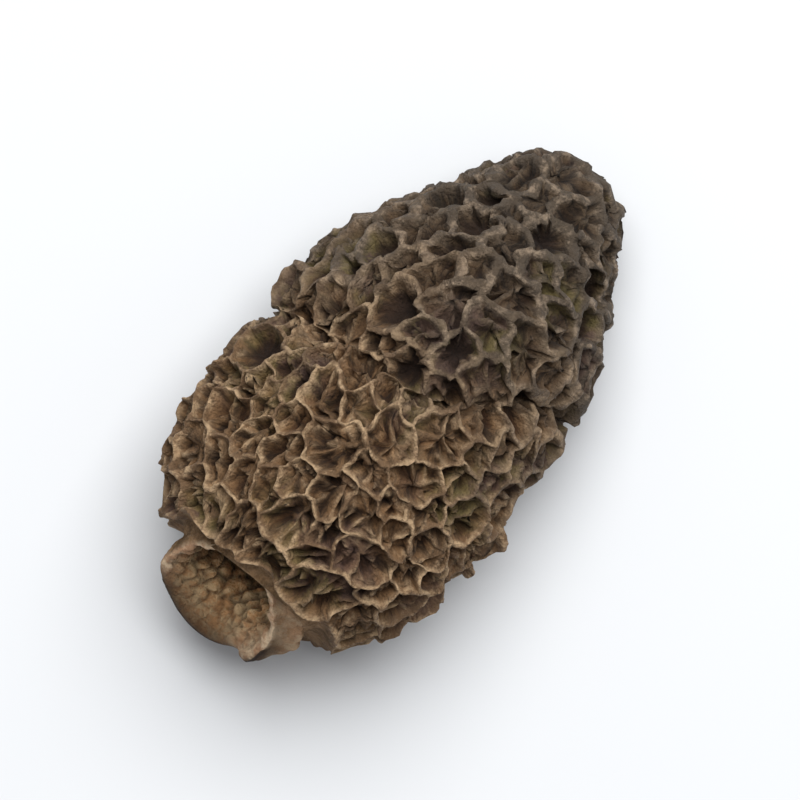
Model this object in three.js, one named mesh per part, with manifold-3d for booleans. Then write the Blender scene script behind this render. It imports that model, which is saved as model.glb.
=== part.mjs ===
// A dried morel mushroom, lying on its side: one grown body, with a pitted cap, the short stub of a
// stem cut just below it, and the hollow that runs from the cut mouth to the tip of the cap.
// Millimetres, +Z up, +X towards the tip. The origin is on the ground, under the middle of the body.
//
// The body is worked out in its growth frame first: x runs along the cap's own axis from the mouth,
// and an angle turns round that axis. Each pit of the cap is a cell of a net, and the net is drawn on
// a unit sphere, where the tip is +X and the stem is -X, before it is laid on the body.
import * as THREE from "three";
import { ConvexHull } from "three/addons/math/ConvexHull.js";
import { mergeVertices } from "three/addons/utils/BufferGeometryUtils.js";
import Module from "manifold-3d";

// The floor of the pits along the cap, as distance from the mouth and radius, from the neck to the tip.
const CAP_OUTLINE = [
  [6.0, 7.4], [8.4, 8.8], [11.0, 11.7], [15.0, 13.9], [20.5, 15.2], [27.5, 15.7], [34.5, 15.3],
  [41.0, 15.5], [47.0, 14.8], [52.5, 12.5], [58.0, 9.7], [63.2, 7.2], [67.0, 4.4], [68.6, 0],
];
const CAP_EDGE = 10.4; // where the lowest ridge of the cap runs
const SQUASHED = 0.9; // height of a section over its width
const LOBES = [
  { count: 2, depth: 0.03, turn: 0.7, twist: 0.02 },
  { count: 3, depth: 0.035, turn: -1.1, twist: 0.045 },
  { count: 5, depth: 0.018, turn: 0.4, twist: -0.06 },
];
const SWAY = { y: -0.15, z: 0.5, length: 92 }; // how far the axis wanders to each side
const CREASE = { x: 33.8, depth: 1.9, width: 2.4, climb: 11, from: 2, over: 14, upper: 0.75 }; // the waist

// The net of ridges.
const PIT = { along: 3.9, round: 3.75, jitter: 0.68 }; // size of a pit by the stem; how far it strays
const PIT_GROWTH = 0.24; // how much larger the pits are by the tip
const FIRST_ROW = 2.3; // from the cap's edge to the middle of the first row of pits
const LAST_GAP = 0.8; // least distance of a row from the tip, in pits
const MIDDLE_SHIFT = 0.1; // how far the middle of the cap lies from the middle of the sphere
const STEM_PULL = 0.42; // how far the cap's edge is drawn from the first row towards the stem
const RIDGE = {
  height: 2.35, // over the floor of the pits
  atTip: 0.62, // share of that height left at the tip
  fadeFrom: 0.6, // share of the cap's length from which the ridges get lower
  atJunction: 1.02, // share of that height where ridges meet
  atBend: 0.96, // and between
  uneven: 0.2, // how much these shares vary
  thick: 0.42, // width of its crest
  corner: 0.58, // how far its edge lies from a junction, in widths of the crest
  edge: 0.5, // and from the line between junctions
  base: 0.85, // from the middle of the crest to the foot of its wall
  foot: 0.12, // height of that foot over the floor
  lean: 0.4, // how far the crests lean towards the stem
  wander: 0.16, // how far a ridge strays sideways, as a share of its length
  bendFrom: 3.25, // a ridge longer than this bends in its middle
  lowShare: 0.16, // share of the ridges that stay low and only divide a pit
  low: 0.45, // height of such a ridge
};
const PIT_DISH = 0.35; // how far the middle of a pit dips below its floor
const CREST_MOST = 0.3; // most of the way to a pit's middle that a crest takes up
const FOOT_MOST = 0.5; // and a crest with its wall
const TEETH = [
  { x: 29.6, angle: 3.1, rise: 2.1, width: 2.2 },
  { x: 36.4, angle: 0.12, rise: 1.0, width: 2.2 },
]; // where a crest stands out from the rest

// The stub of the stem, which slants, and the hollow. Places along it are counted from the cut.
const MOUTH = { x: 5.0, slope: 0.5, radius: 7.4, y: 1.3, z: 0.3 };
const BELOW_EDGE = [
  { down: 1.3, rise: 0.15 },
  { down: 2.6, rise: 0 },
]; // the smooth skin between the cap's edge and the stub
const SKIRT = { along: 1.6, out: 0.25, wide: 1.7, blend: 0.8 }; // the stub's foot; it is wide at -Y
const LIP = { outer: 0.25, front: -0.15, inner: 0.2, round: 0.35 };
const TEAR = { angle: -2.7, reach: 1.7, width: 0.2 }; // where the cut has left a point on the lip
const STUB_LOBES = [
  { count: 2, depth: 0.05, turn: 0.5 },
  { count: 5, depth: 0.035, turn: 1.9 },
];
const STUB_PRESSED = 0.06; // how much lower than wide the mouth is
const NECK = { radius: 6.3, wall: 0.9, folds: 3, fold: 0.2, turn: 0.8, twist: 0.35 };
const BORE = [
  { along: 2.6, out: 0, blend: 0.9, slant: 0.7 },
  { along: 5.2, out: 0.6, blend: 0.5, slant: 0.2 },
]; // the neck of the hollow, which straightens inwards
const FLESH = 1.5; // wall between the floor of the pits and the hollow
const HOLLOW = { from: 13.5, to: 63.5, rings: 11 };

// How the body lies.
const TILT = 6; // degrees by which the tip points down
// The level that the underside is pressed flat to, in the tilted frame. It arches a little in the
// middle, so the body lies on crests near both its ends.
const SOLE = { z: -12.6, soft: 1.5, arch: 0.9, middle: 33, reach: 8 };
const LIE = new THREE.Vector3(-34.6, 0.24, 14.4); // the middle of the mouth's side, in the part's frame

const MORE_TURN = Math.PI * (3 - Math.sqrt(5)); // from one row of pits to the next
const OUTLINE_STEPS = 48;
const TIP = new THREE.Vector3(1, 0, 0);
const STEM = new THREE.Vector3(-1, 0, 0);

/** A number from 0 to 1 that looks random and is always the same for the same a and b. */
function chance(a, b) {
  const wave = Math.sin(a * 12.9898 + b * 78.233) * 43758.5453;
  return wave - Math.floor(wave);
}

function smoothstep(t) {
  const u = Math.min(1, Math.max(0, t));
  return u * u * (3 - 2 * u);
}

/** The value of the table's column at the place where its other column, which rises, is t. */
function lookUp(table, from, to, t) {
  let low = 0;
  let high = table.length - 1;
  if (t <= table[low][from]) return table[low][to];
  if (t >= table[high][from]) return table[high][to];
  while (high - low > 1) {
    const middle = (low + high) >> 1;
    if (table[middle][from] <= t) low = middle;
    else high = middle;
  }
  const share = (t - table[low][from]) / (table[high][from] - table[low][from]);
  return table[low][to] + share * (table[high][to] - table[low][to]);
}

/** A smooth curve through the outline's points, as rows of x, radius, length so far, and reach. Reach
 * grows by each step's length over its radius, which makes the net on the sphere keep its shapes. */
function drawOutline(points) {
  const last = points.length - 1;
  const mirrored = [points[last - 1][0], -points[last - 1][1]];
  const padded = [points[0], ...points, mirrored];
  const rows = [];
  for (let i = 1; i <= last; i++) {
    const [a, b, c, d] = padded.slice(i - 1, i + 3);
    for (let k = i === 1 ? 0 : 1; k <= OUTLINE_STEPS; k++) {
      const t = k / OUTLINE_STEPS;
      const at = [0, 1].map(
        (n) =>
          0.5 *
          (2 * b[n] +
            (c[n] - a[n]) * t +
            (2 * a[n] - 5 * b[n] + 4 * c[n] - d[n]) * t * t +
            (3 * b[n] - a[n] - 3 * c[n] + d[n]) * t * t * t),
      );
      const before = rows[rows.length - 1];
      const step = before ? Math.hypot(at[0] - before.x, at[1] - before.radius) : 0;
      rows.push({
        x: at[0],
        radius: at[1],
        length: before ? before.length + step : 0,
        reach: before ? before.reach + (2 * step) / (at[1] + before.radius) : 0,
      });
    }
  }
  return rows;
}

const outline = drawOutline(CAP_OUTLINE);
const capLength = outline[outline.length - 1].length;
const edgeLength = lookUp(outline, "x", "length", CAP_EDGE);
const middleReach = 0.5 * lookUp(outline, "length", "reach", capLength - PIT.along) + MIDDLE_SHIFT;

/** The point of the unit sphere for a place on the cap. */
function onSphere(length, angle) {
  const polar = 2 * Math.atan(Math.exp(middleReach - lookUp(outline, "length", "reach", length)));
  const ring = Math.sin(polar);
  return new THREE.Vector3(Math.cos(polar), ring * Math.cos(angle), ring * Math.sin(angle));
}

/** The place on the cap for a point of the unit sphere. */
function onCap(point) {
  const ring = Math.hypot(point.y, point.z);
  const reach = middleReach + Math.log((point.length() + point.x) / Math.max(ring, 1e-9));
  return {
    length: lookUp(outline, "reach", "length", reach),
    angle: Math.atan2(point.z, point.y),
  };
}

/** A point of the growth frame as it lies: tilted, pressed flat below, and moved to its place. */
function lay(x, y, z) {
  const tilt = THREE.MathUtils.degToRad(TILT);
  const laidX = x * Math.cos(tilt) + z * Math.sin(tilt);
  const laidZ = z * Math.cos(tilt) - x * Math.sin(tilt);
  const sole = SOLE.z + SOLE.arch * Math.exp(-(((laidX - SOLE.middle) / SOLE.reach) ** 2));
  const over = (laidZ - sole) / SOLE.soft;
  const pressedZ = over > 20 ? laidZ : sole + SOLE.soft * Math.log1p(Math.exp(over));
  return new THREE.Vector3(laidX, y, pressedZ).add(LIE);
}

/** A point of the cap's skin, before the ridges, at a length along its outline and an angle. */
function skin(length, angle) {
  const x = lookUp(outline, "length", "x", length);
  let radius = lookUp(outline, "length", "radius", length);
  for (const lobe of LOBES) {
    radius *= 1 + lobe.depth * Math.cos(lobe.count * angle + lobe.turn + lobe.twist * x);
  }
  const across = radius * Math.cos(angle);
  const creaseX = CREASE.x + CREASE.climb * smoothstep((-across - CREASE.from) / CREASE.over);
  const upper = smoothstep(CREASE.upper + Math.sin(angle));
  radius -= CREASE.depth * upper * Math.exp(-(((x - creaseX) / CREASE.width) ** 2));
  const sway = Math.sin((Math.PI * 2 * x) / SWAY.length);
  return lay(
    x,
    radius * Math.cos(angle) + SWAY.y * sway,
    radius * SQUASHED * Math.sin(angle) + SWAY.z * sway,
  );
}

/** A point over the skin, by a height along the skin's normal. */
function overSkin(length, angle, height) {
  const step = 0.05;
  const before = Math.min(length, capLength - 2 * step);
  const along = skin(before + step, angle).sub(skin(before - step, angle));
  const turned = step / Math.max(lookUp(outline, "length", "radius", before), step);
  const round = skin(before, angle + turned).sub(skin(before, angle - turned));
  const normal = new THREE.Vector3().crossVectors(round, along).normalize();
  return skin(length, angle).addScaledVector(normal, height);
}

/** Millimetres of skin for one unit of length on the sphere, near a point of it. */
function scaleAt(point) {
  const radius = lookUp(outline, "length", "radius", onCap(point).length);
  return Math.max(radius, 0.6) / Math.max(Math.hypot(point.y, point.z), 0.02);
}

function ridgeHeight(point) {
  const { length } = onCap(point);
  const toTip = smoothstep((length / capLength - RIDGE.fadeFrom) / (1 - RIDGE.fadeFrom));
  return RIDGE.height * (1 - (1 - RIDGE.atTip) * toTip);
}

/** The middles of the pits on the sphere: one for the stem, rows round the cap, and one at the tip. */
function placePits() {
  const pits = [STEM.clone()];
  let length = edgeLength + FIRST_ROW;
  for (let row = 0; length < capLength - LAST_GAP * PIT.along; row++) {
    const size = 1 + (PIT_GROWTH * length) / capLength;
    const radius = lookUp(outline, "length", "radius", length);
    const count = Math.max(5, Math.round((2 * Math.PI * radius) / (PIT.round * size)));
    const stray = row === 0 ? 0.5 * PIT.jitter : PIT.jitter;
    for (let i = 0; i < count; i++) {
      const along = stray * PIT.along * (chance(row, i) - 0.5);
      const turn = i + stray * (chance(i + 50, row) - 0.5);
      pits.push(onSphere(length + along, row * MORE_TURN + (2 * Math.PI * turn) / count));
    }
    length += PIT.along * size;
  }
  return [...pits, TIP.clone()];
}

/** The triangles of neighbouring pits, each as three numbers of pits, seen against the clock. */
function neighbours(pits) {
  const numberOf = new Map(pits.map((pit, i) => [pit, i]));
  return new ConvexHull().setFromPoints(pits).faces.map((face) =>
    [0, 1, 2].map((k) => numberOf.get(face.getEdge(k).head().point)),
  );
}

/** How much a crest stands out at a point of the cap. */
function toothRise(point) {
  const { length, angle } = onCap(point);
  const x = lookUp(outline, "length", "x", length);
  const radius = lookUp(outline, "length", "radius", length);
  return TEETH.reduce((sum, tooth) => {
    const turned = Math.atan2(Math.sin(angle - tooth.angle), Math.cos(angle - tooth.angle));
    const away = Math.hypot(x - tooth.x, radius * turned) / tooth.width;
    return sum + tooth.rise * Math.exp(-(away ** 2));
  }, 0);
}

/** Where the ridges round three pits meet: its place on the sphere and the crest's height there. */
function junctionOf(pits, three) {
  const at = new THREE.Vector3();
  for (const i of three) at.addScaledVector(pits[i], i === 0 ? STEM_PULL : 1);
  at.normalize();
  const [a, b, c] = three;
  const share = RIDGE.atJunction + RIDGE.uneven * (chance(a + b + c, a * b + b * c + c * a) - 0.5);
  const height = share * ridgeHeight(at) + toothRise(at);
  return { pits: three, at, height, corner: RIDGE.corner };
}

/** The middle of the ridge between two pits, from one junction to the next, or null if it is short. */
function bendOf(pitA, pitB, from, to) {
  const along = to.at.clone().sub(from.at);
  const at = from.at.clone().add(to.at).normalize();
  if (along.length() * scaleAt(at) < RIDGE.bendFrom) return null;
  const [first, second] = [Math.min(pitA, pitB), Math.max(pitA, pitB)];
  const low = first > 0 && chance(first, second) < RIDGE.lowShare;
  const full = RIDGE.atBend + RIDGE.uneven * (chance(second, first) - 0.5);
  const share = low ? RIDGE.low : full;
  const side = new THREE.Vector3().crossVectors(at, along).multiplyScalar(pitA < pitB ? 1 : -1);
  at.addScaledVector(side, RIDGE.wander * (2 * chance(first + 7, second) - 1)).normalize();
  return { at, height: share * ridgeHeight(at) + toothRise(at), corner: RIDGE.edge };
}

/** The junctions of the net, and the sides of each pit in turn, seen against the clock. A side is the
 * ridge to the pit beyond it: the junction it starts from and, on a long one, the bend after it. */
function netOf(pits) {
  const junctions = neighbours(pits).map((three) => junctionOf(pits, three));
  const after = pits.map(() => new Map());
  for (const junction of junctions) {
    junction.pits.forEach((pit, k) => after[pit].set(junction.pits[(k + 1) % 3], junction));
  }
  const bends = new Map();
  const sides = pits.map((_, pit) => {
    const found = [];
    let [next] = after[pit].keys();
    while (found.length < after[pit].size) {
      const junction = after[pit].get(next);
      const beyond = junction.pits[(junction.pits.indexOf(pit) + 2) % 3];
      const key = Math.min(pit, beyond) * pits.length + Math.max(pit, beyond);
      if (!bends.has(key)) bends.set(key, bendOf(pit, beyond, junction, after[pit].get(beyond)));
      const bend = bends.get(key);
      found.push({ beyond, points: bend ? [junction, bend] : [junction] });
      next = beyond;
    }
    return found;
  });
  return { junctions, sides };
}

/** The place on the cap that lies a distance inwards of a ridge's point, towards a pit's middle. */
function inwards(at, middle, distance, most) {
  const way = middle.clone().sub(at);
  const share = Math.min(most, distance / (way.length() * scaleAt(at)));
  return onCap(at.clone().addScaledVector(way, share).normalize());
}

/** The edge of a ridge's crest on the side of one pit, leaning towards the stem. */
function crestEdge({ at, height, corner }, middle) {
  const { length, angle } = inwards(at, middle, RIDGE.thick * corner, CREST_MOST);
  return overSkin(Math.max(length - RIDGE.lean * Math.min(1, height), 0), angle, height);
}

/** A pit with its middle on the sphere, the points of its ridges, and their crests on its side. */
function pitOf(sides, pole) {
  const ring = sides.flatMap(({ points }) => points);
  const middle = new THREE.Vector3();
  for (const { at } of ring) middle.add(at);
  if (pole) middle.copy(pole);
  middle.normalize();
  return { middle, ring, crests: new Map(ring.map((point) => [point, crestEdge(point, middle)])) };
}

/** Puts the two triangles of a strip between two neighbouring points of one ring and the next. */
function addStrip(corners, a, b, insideA, insideB) {
  corners.push(a, b, insideB, a, insideB, insideA);
}

/** The strips between two closed rings with as many points each. */
function addBand(corners, outer, inner) {
  outer.forEach((point, i) => {
    const j = (i + 1) % outer.length;
    addStrip(corners, point, outer[j], inner[i], inner[j]);
  });
}

/** The strips between a closed ring and one with twice as many points. */
function addSplitBand(corners, outer, inner) {
  outer.forEach((point, i) => {
    const next = outer[(i + 1) % outer.length];
    const [first, middle, last] = [0, 1, 2].map((k) => inner[(2 * i + k) % inner.length]);
    corners.push(point, next, middle, next, last, middle, point, middle, first);
  });
}

/** The triangles between a closed ring and one point. */
function addFan(corners, ring, point) {
  ring.forEach((start, i) => corners.push(start, ring[(i + 1) % ring.length], point));
}

/** The inside of a pit: walls from the crests down to the foot, and a floor that dips. */
function addPit(corners, { middle, ring, crests }) {
  const feet = ring.map(({ at }) => {
    const { length, angle } = inwards(at, middle, RIDGE.base, FOOT_MOST);
    return overSkin(length, angle, RIDGE.foot);
  });
  const { length, angle } = onCap(middle);
  addBand(corners, [...crests.values()], feet);
  addFan(corners, feet, overSkin(length, angle, -PIT_DISH));
}

/** The tops of the ridges, from the crests of one pit to those of the next. */
function addCrests(corners, { junctions, sides }, pits) {
  sides.forEach((around, pit) => {
    around.forEach(({ beyond, points }, i) => {
      if (beyond < pit) return;
      const chain = [...points, around[(i + 1) % around.length].points[0]];
      const near = chain.map((point) => pits[pit].crests.get(point));
      const far = chain.map((point) => pits[beyond].crests.get(point));
      for (let k = 1; k < chain.length; k++) {
        addStrip(corners, far[k - 1], far[k], near[k - 1], near[k]);
      }
    });
  });
  for (const junction of junctions) {
    corners.push(...junction.pits.map((pit) => pits[pit].crests.get(junction)));
  }
}

/** A point of the stub or its bore: a radius round the stub's own axis, at an x that slants with it. */
function stubPoint(x, radius, angle, blend, slant) {
  const across = STUB_LOBES.reduce(
    (wide, lobe) => wide + radius * lobe.depth * Math.cos(lobe.count * angle + lobe.turn),
    radius,
  );
  return lay(
    x + slant * MOUTH.slope * radius * Math.sin(angle),
    MOUTH.y * blend + across * Math.cos(angle),
    MOUTH.z * blend + across * Math.sin(angle) * (1 - STUB_PRESSED * blend),
  );
}

/** A point of the stub's foot, under the cap. */
function skirtPoint(angle) {
  const { along, out, wide, blend } = SKIRT;
  const radius = MOUTH.radius + out + wide * smoothstep(-Math.cos(angle));
  return stubPoint(MOUTH.x + along, radius, angle, blend, blend);
}

/** A point of the stub's lip, which reaches further out where it is torn. */
function lipPoint(along, radius, angle) {
  const torn = TEAR.reach * Math.exp(-(((angle - TEAR.angle) / TEAR.width) ** 2));
  return stubPoint(MOUTH.x + along - torn, radius, angle, 1, 1);
}

/** A point of the bore through the neck. */
function borePoint({ along, out, blend, slant }, angle) {
  const fold = NECK.fold * Math.cos(NECK.folds * angle + NECK.twist * along + NECK.turn);
  return stubPoint(MOUTH.x + along, NECK.radius + fold + out, angle, blend, slant);
}

/** The rings that close the body at the stem: down the stub, over its lip, and up the hollow. They
 * have a point at each angle and one between each two. */
function stemRings(edgeAngles) {
  const angles = edgeAngles.flatMap((angle, i) => {
    const turned = edgeAngles[(i + 1) % edgeAngles.length] - angle;
    return [angle, angle + 0.5 * Math.atan2(Math.sin(turned), Math.cos(turned))];
  });
  const lengthAt = (x) => lookUp(outline, "x", "length", x);
  const below = BELOW_EDGE.map(
    ({ down, rise }) => (a) => overSkin(lengthAt(CAP_EDGE - down), a, rise),
  );
  const lip = [
    (a) => lipPoint(LIP.outer, MOUTH.radius, a),
    (a) => lipPoint(LIP.front, MOUTH.radius - LIP.round, a),
    (a) => lipPoint(LIP.inner, MOUTH.radius - NECK.wall, a),
  ];
  const bore = BORE.map((place) => (a) => borePoint(place, a));
  const hollow = Array.from({ length: HOLLOW.rings }, (_, i) => {
    const share = i / (HOLLOW.rings - 1);
    const length = lengthAt(HOLLOW.from) * (1 - share) + lengthAt(HOLLOW.to) * share;
    return (a) => overSkin(length, a, -FLESH);
  });
  return [...below, skirtPoint, ...lip, ...bore, ...hollow].map((place) => angles.map(place));
}

/** The whole body's surface, as one list of corners, three to a triangle. */
function bodyCorners() {
  const net = netOf(placePits());
  const pits = net.sides.map((sides, i) => pitOf(sides, i === 0 && STEM));
  const corners = [];
  pits.slice(1).forEach((pit) => addPit(corners, pit));
  addCrests(corners, net, pits);

  const rings = stemRings(pits[0].ring.map(({ at }) => onCap(at).angle));
  addSplitBand(corners, [...pits[0].crests.values()], rings[0]);
  rings.slice(1).forEach((ring, i) => addBand(corners, rings[i], ring));
  const last = rings[rings.length - 1];
  const end = last.reduce((sum, point) => sum.add(point), new THREE.Vector3());
  addFan(corners, last, end.divideScalar(last.length));
  return corners;
}

/** A closed three.js geometry as a solid that can be cut. */
function solidOf(wasm, geometry) {
  const bare = geometry.clone();
  for (const name of ["normal", "uv"]) bare.deleteAttribute(name);
  const merged = mergeVertices(bare, 1e-4);
  return new wasm.Manifold(
    new wasm.Mesh({
      numProp: 3,
      vertProperties: merged.attributes.position.array,
      triVerts: new Uint32Array(merged.index.array),
    }),
  );
}

/** A solid as a three.js geometry. */
function geometryOf(solid) {
  const { vertProperties, triVerts } = solid.getMesh();
  const geometry = new THREE.BufferGeometry();
  geometry.setAttribute("position", new THREE.BufferAttribute(vertProperties, 3));
  geometry.setIndex(new THREE.BufferAttribute(triVerts, 1));
  geometry.computeVertexNormals();
  return geometry;
}

/** The body with the crests that it lies on worn flat at the ground. */
async function morelGeometry() {
  const wasm = await Module();
  wasm.setup();
  const grown = new THREE.BufferGeometry().setFromPoints(bodyCorners());
  const ground = new THREE.BoxGeometry(200, 200, 40).translate(0, 0, -20);
  return geometryOf(solidOf(wasm, grown).subtract(solidOf(wasm, ground)));
}

const flesh = new THREE.MeshStandardMaterial({ color: 0x6b5642, roughness: 0.92, metalness: 0 });
const morel = new THREE.Mesh(await morelGeometry(), flesh);
morel.name = "morel";

const part = new THREE.Group();
part.add(morel);

export default part;
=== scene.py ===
"""A dried morel mushroom lying on its side on a pale floor, under soft studio light.

The mushroom is one grown piece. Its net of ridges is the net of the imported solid: the same rule, with
the same values, places the pits on a unit sphere, where the tip is +X and the stem is -X, and lays them
on the body. Here each ridge is a crinkled blade, each pit has pleated walls and a wrinkled floor, and
the cut stub has its torn rim and mealy lining. Sizes are millimetres until a vertex gets its place.
"""
import logging
import math
from collections.abc import Sequence
from dataclasses import dataclass, field
from enum import Enum

import bmesh
import bpy
import numpy as np
from mathutils import Matrix, Vector, noise


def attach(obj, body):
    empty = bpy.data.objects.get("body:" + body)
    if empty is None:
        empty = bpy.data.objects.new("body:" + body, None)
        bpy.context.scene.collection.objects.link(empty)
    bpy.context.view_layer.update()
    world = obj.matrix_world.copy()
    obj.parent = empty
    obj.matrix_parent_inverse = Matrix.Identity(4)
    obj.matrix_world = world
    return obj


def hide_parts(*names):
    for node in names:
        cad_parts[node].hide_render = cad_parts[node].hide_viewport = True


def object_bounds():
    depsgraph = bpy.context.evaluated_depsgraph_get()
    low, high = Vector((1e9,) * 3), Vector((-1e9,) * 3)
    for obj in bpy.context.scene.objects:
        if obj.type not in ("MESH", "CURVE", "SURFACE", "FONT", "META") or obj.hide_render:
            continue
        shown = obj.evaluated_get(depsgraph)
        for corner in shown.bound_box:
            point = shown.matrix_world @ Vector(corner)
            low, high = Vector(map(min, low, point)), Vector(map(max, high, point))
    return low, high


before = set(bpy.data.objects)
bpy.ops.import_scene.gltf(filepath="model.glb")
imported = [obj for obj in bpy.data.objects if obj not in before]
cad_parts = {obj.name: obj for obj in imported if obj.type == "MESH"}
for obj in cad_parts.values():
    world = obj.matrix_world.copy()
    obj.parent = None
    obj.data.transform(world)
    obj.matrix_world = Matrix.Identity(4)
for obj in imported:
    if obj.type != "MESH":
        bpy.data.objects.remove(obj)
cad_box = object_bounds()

MM = 0.001
GOLDEN_TURN = math.pi * (3 - math.sqrt(5))
TIP = np.array((1.0, 0.0, 0.0))
STEM = np.array((-1.0, 0.0, 0.0))
INSET = 0.0001  # how far a new ring is inset, before its vertices get their places

Values = float | np.ndarray  # one value for all, or one for each

logging.basicConfig(level=logging.INFO, format="%(message)s")
log = logging.getLogger("morel")


def chance(a: float, b: float) -> float:
    """Give a number from 0 to 1 that looks random and is always the same for the same a and b."""
    wave = math.sin(a * 12.9898 + b * 78.233) * 43758.5453
    return wave - math.floor(wave)


def smoothstep(t: np.ndarray) -> np.ndarray:
    """Ease from 0 to 1 as t goes from 0 to 1, and stay flat outside."""
    u = np.clip(t, 0.0, 1.0)
    return u * u * (3 - 2 * u)


def unit(vectors: np.ndarray) -> np.ndarray:
    """Scale each vector, along the last axis, to length one."""
    return vectors / np.linalg.norm(vectors, axis=-1, keepdims=True)


def between(first: Values, second: Values, share: Values) -> Values:
    """Go from the first value to the second as the share goes from 0 to 1."""
    return first + (second - first) * share


def bell(away: np.ndarray) -> np.ndarray:
    """Give 1 where away is 0, and almost 0 where it is more than 2 either way."""
    return np.exp(-(away**2))


def turned_from(angle: np.ndarray, start: float) -> np.ndarray:
    """Give how far angles are turned from a start, from half a turn back to half a turn on."""
    return np.remainder(angle - start + math.pi, 2 * math.pi) - math.pi


class Seed(Enum):
    """What a ripple is for, with how far its noise is moved, so that no two are alike."""

    SIDEWAYS = 3.1
    FINE_SIDEWAYS = 5.7
    UPRIGHT = 8.3
    FINE_UPRIGHT = 1.9
    CREST_WIDTH = 6.4
    DROOP_ALONG = 4.4
    DROOP_ROUND = 9.2
    WARP_X = 11.3
    WARP_Y = 14.9
    WARP_Z = 17.2
    CRUMPLE_X = 21.7
    CRUMPLE_Y = 25.1
    CRUMPLE_Z = 28.3
    PLEATS = 2.2
    WRINKLES = 7.7
    FOLDS = 12.6
    SKIN_FOLDS = 5.1
    SKIN_CREASES = 7.9
    RAGS_OUT = 2.6
    RAGS_ALONG = 4.9
    GRAINS = 8.8


def ripple(places: np.ndarray, wavelength: float, seed: Seed) -> np.ndarray:
    """Sample smooth noise from about -1 to 1 at places in millimetres.

    Args:
        places: an array of points, one a row.
        wavelength: the size of one swell of the noise, in millimetres.
        seed: what the ripple is for.

    Returns:
        One value for each point.
    """
    moved = places / wavelength + (seed.value, 2.7 * seed.value, -1.3 * seed.value)
    return np.array([noise.noise(Vector(point)) for point in moved])


def ripples(places: np.ndarray, wavelength: float, seeds: tuple[Seed, Seed, Seed]) -> np.ndarray:
    """Sample three ripples at places, and give them as one vector for each point."""
    return np.stack([ripple(places, wavelength, seed) for seed in seeds], axis=1)


@dataclass(frozen=True)
class Lobe:
    """A slow swell of the body's section: how many round it, how deep, and how it turns."""

    count: int
    depth: float
    turn: float
    twist: float


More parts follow.
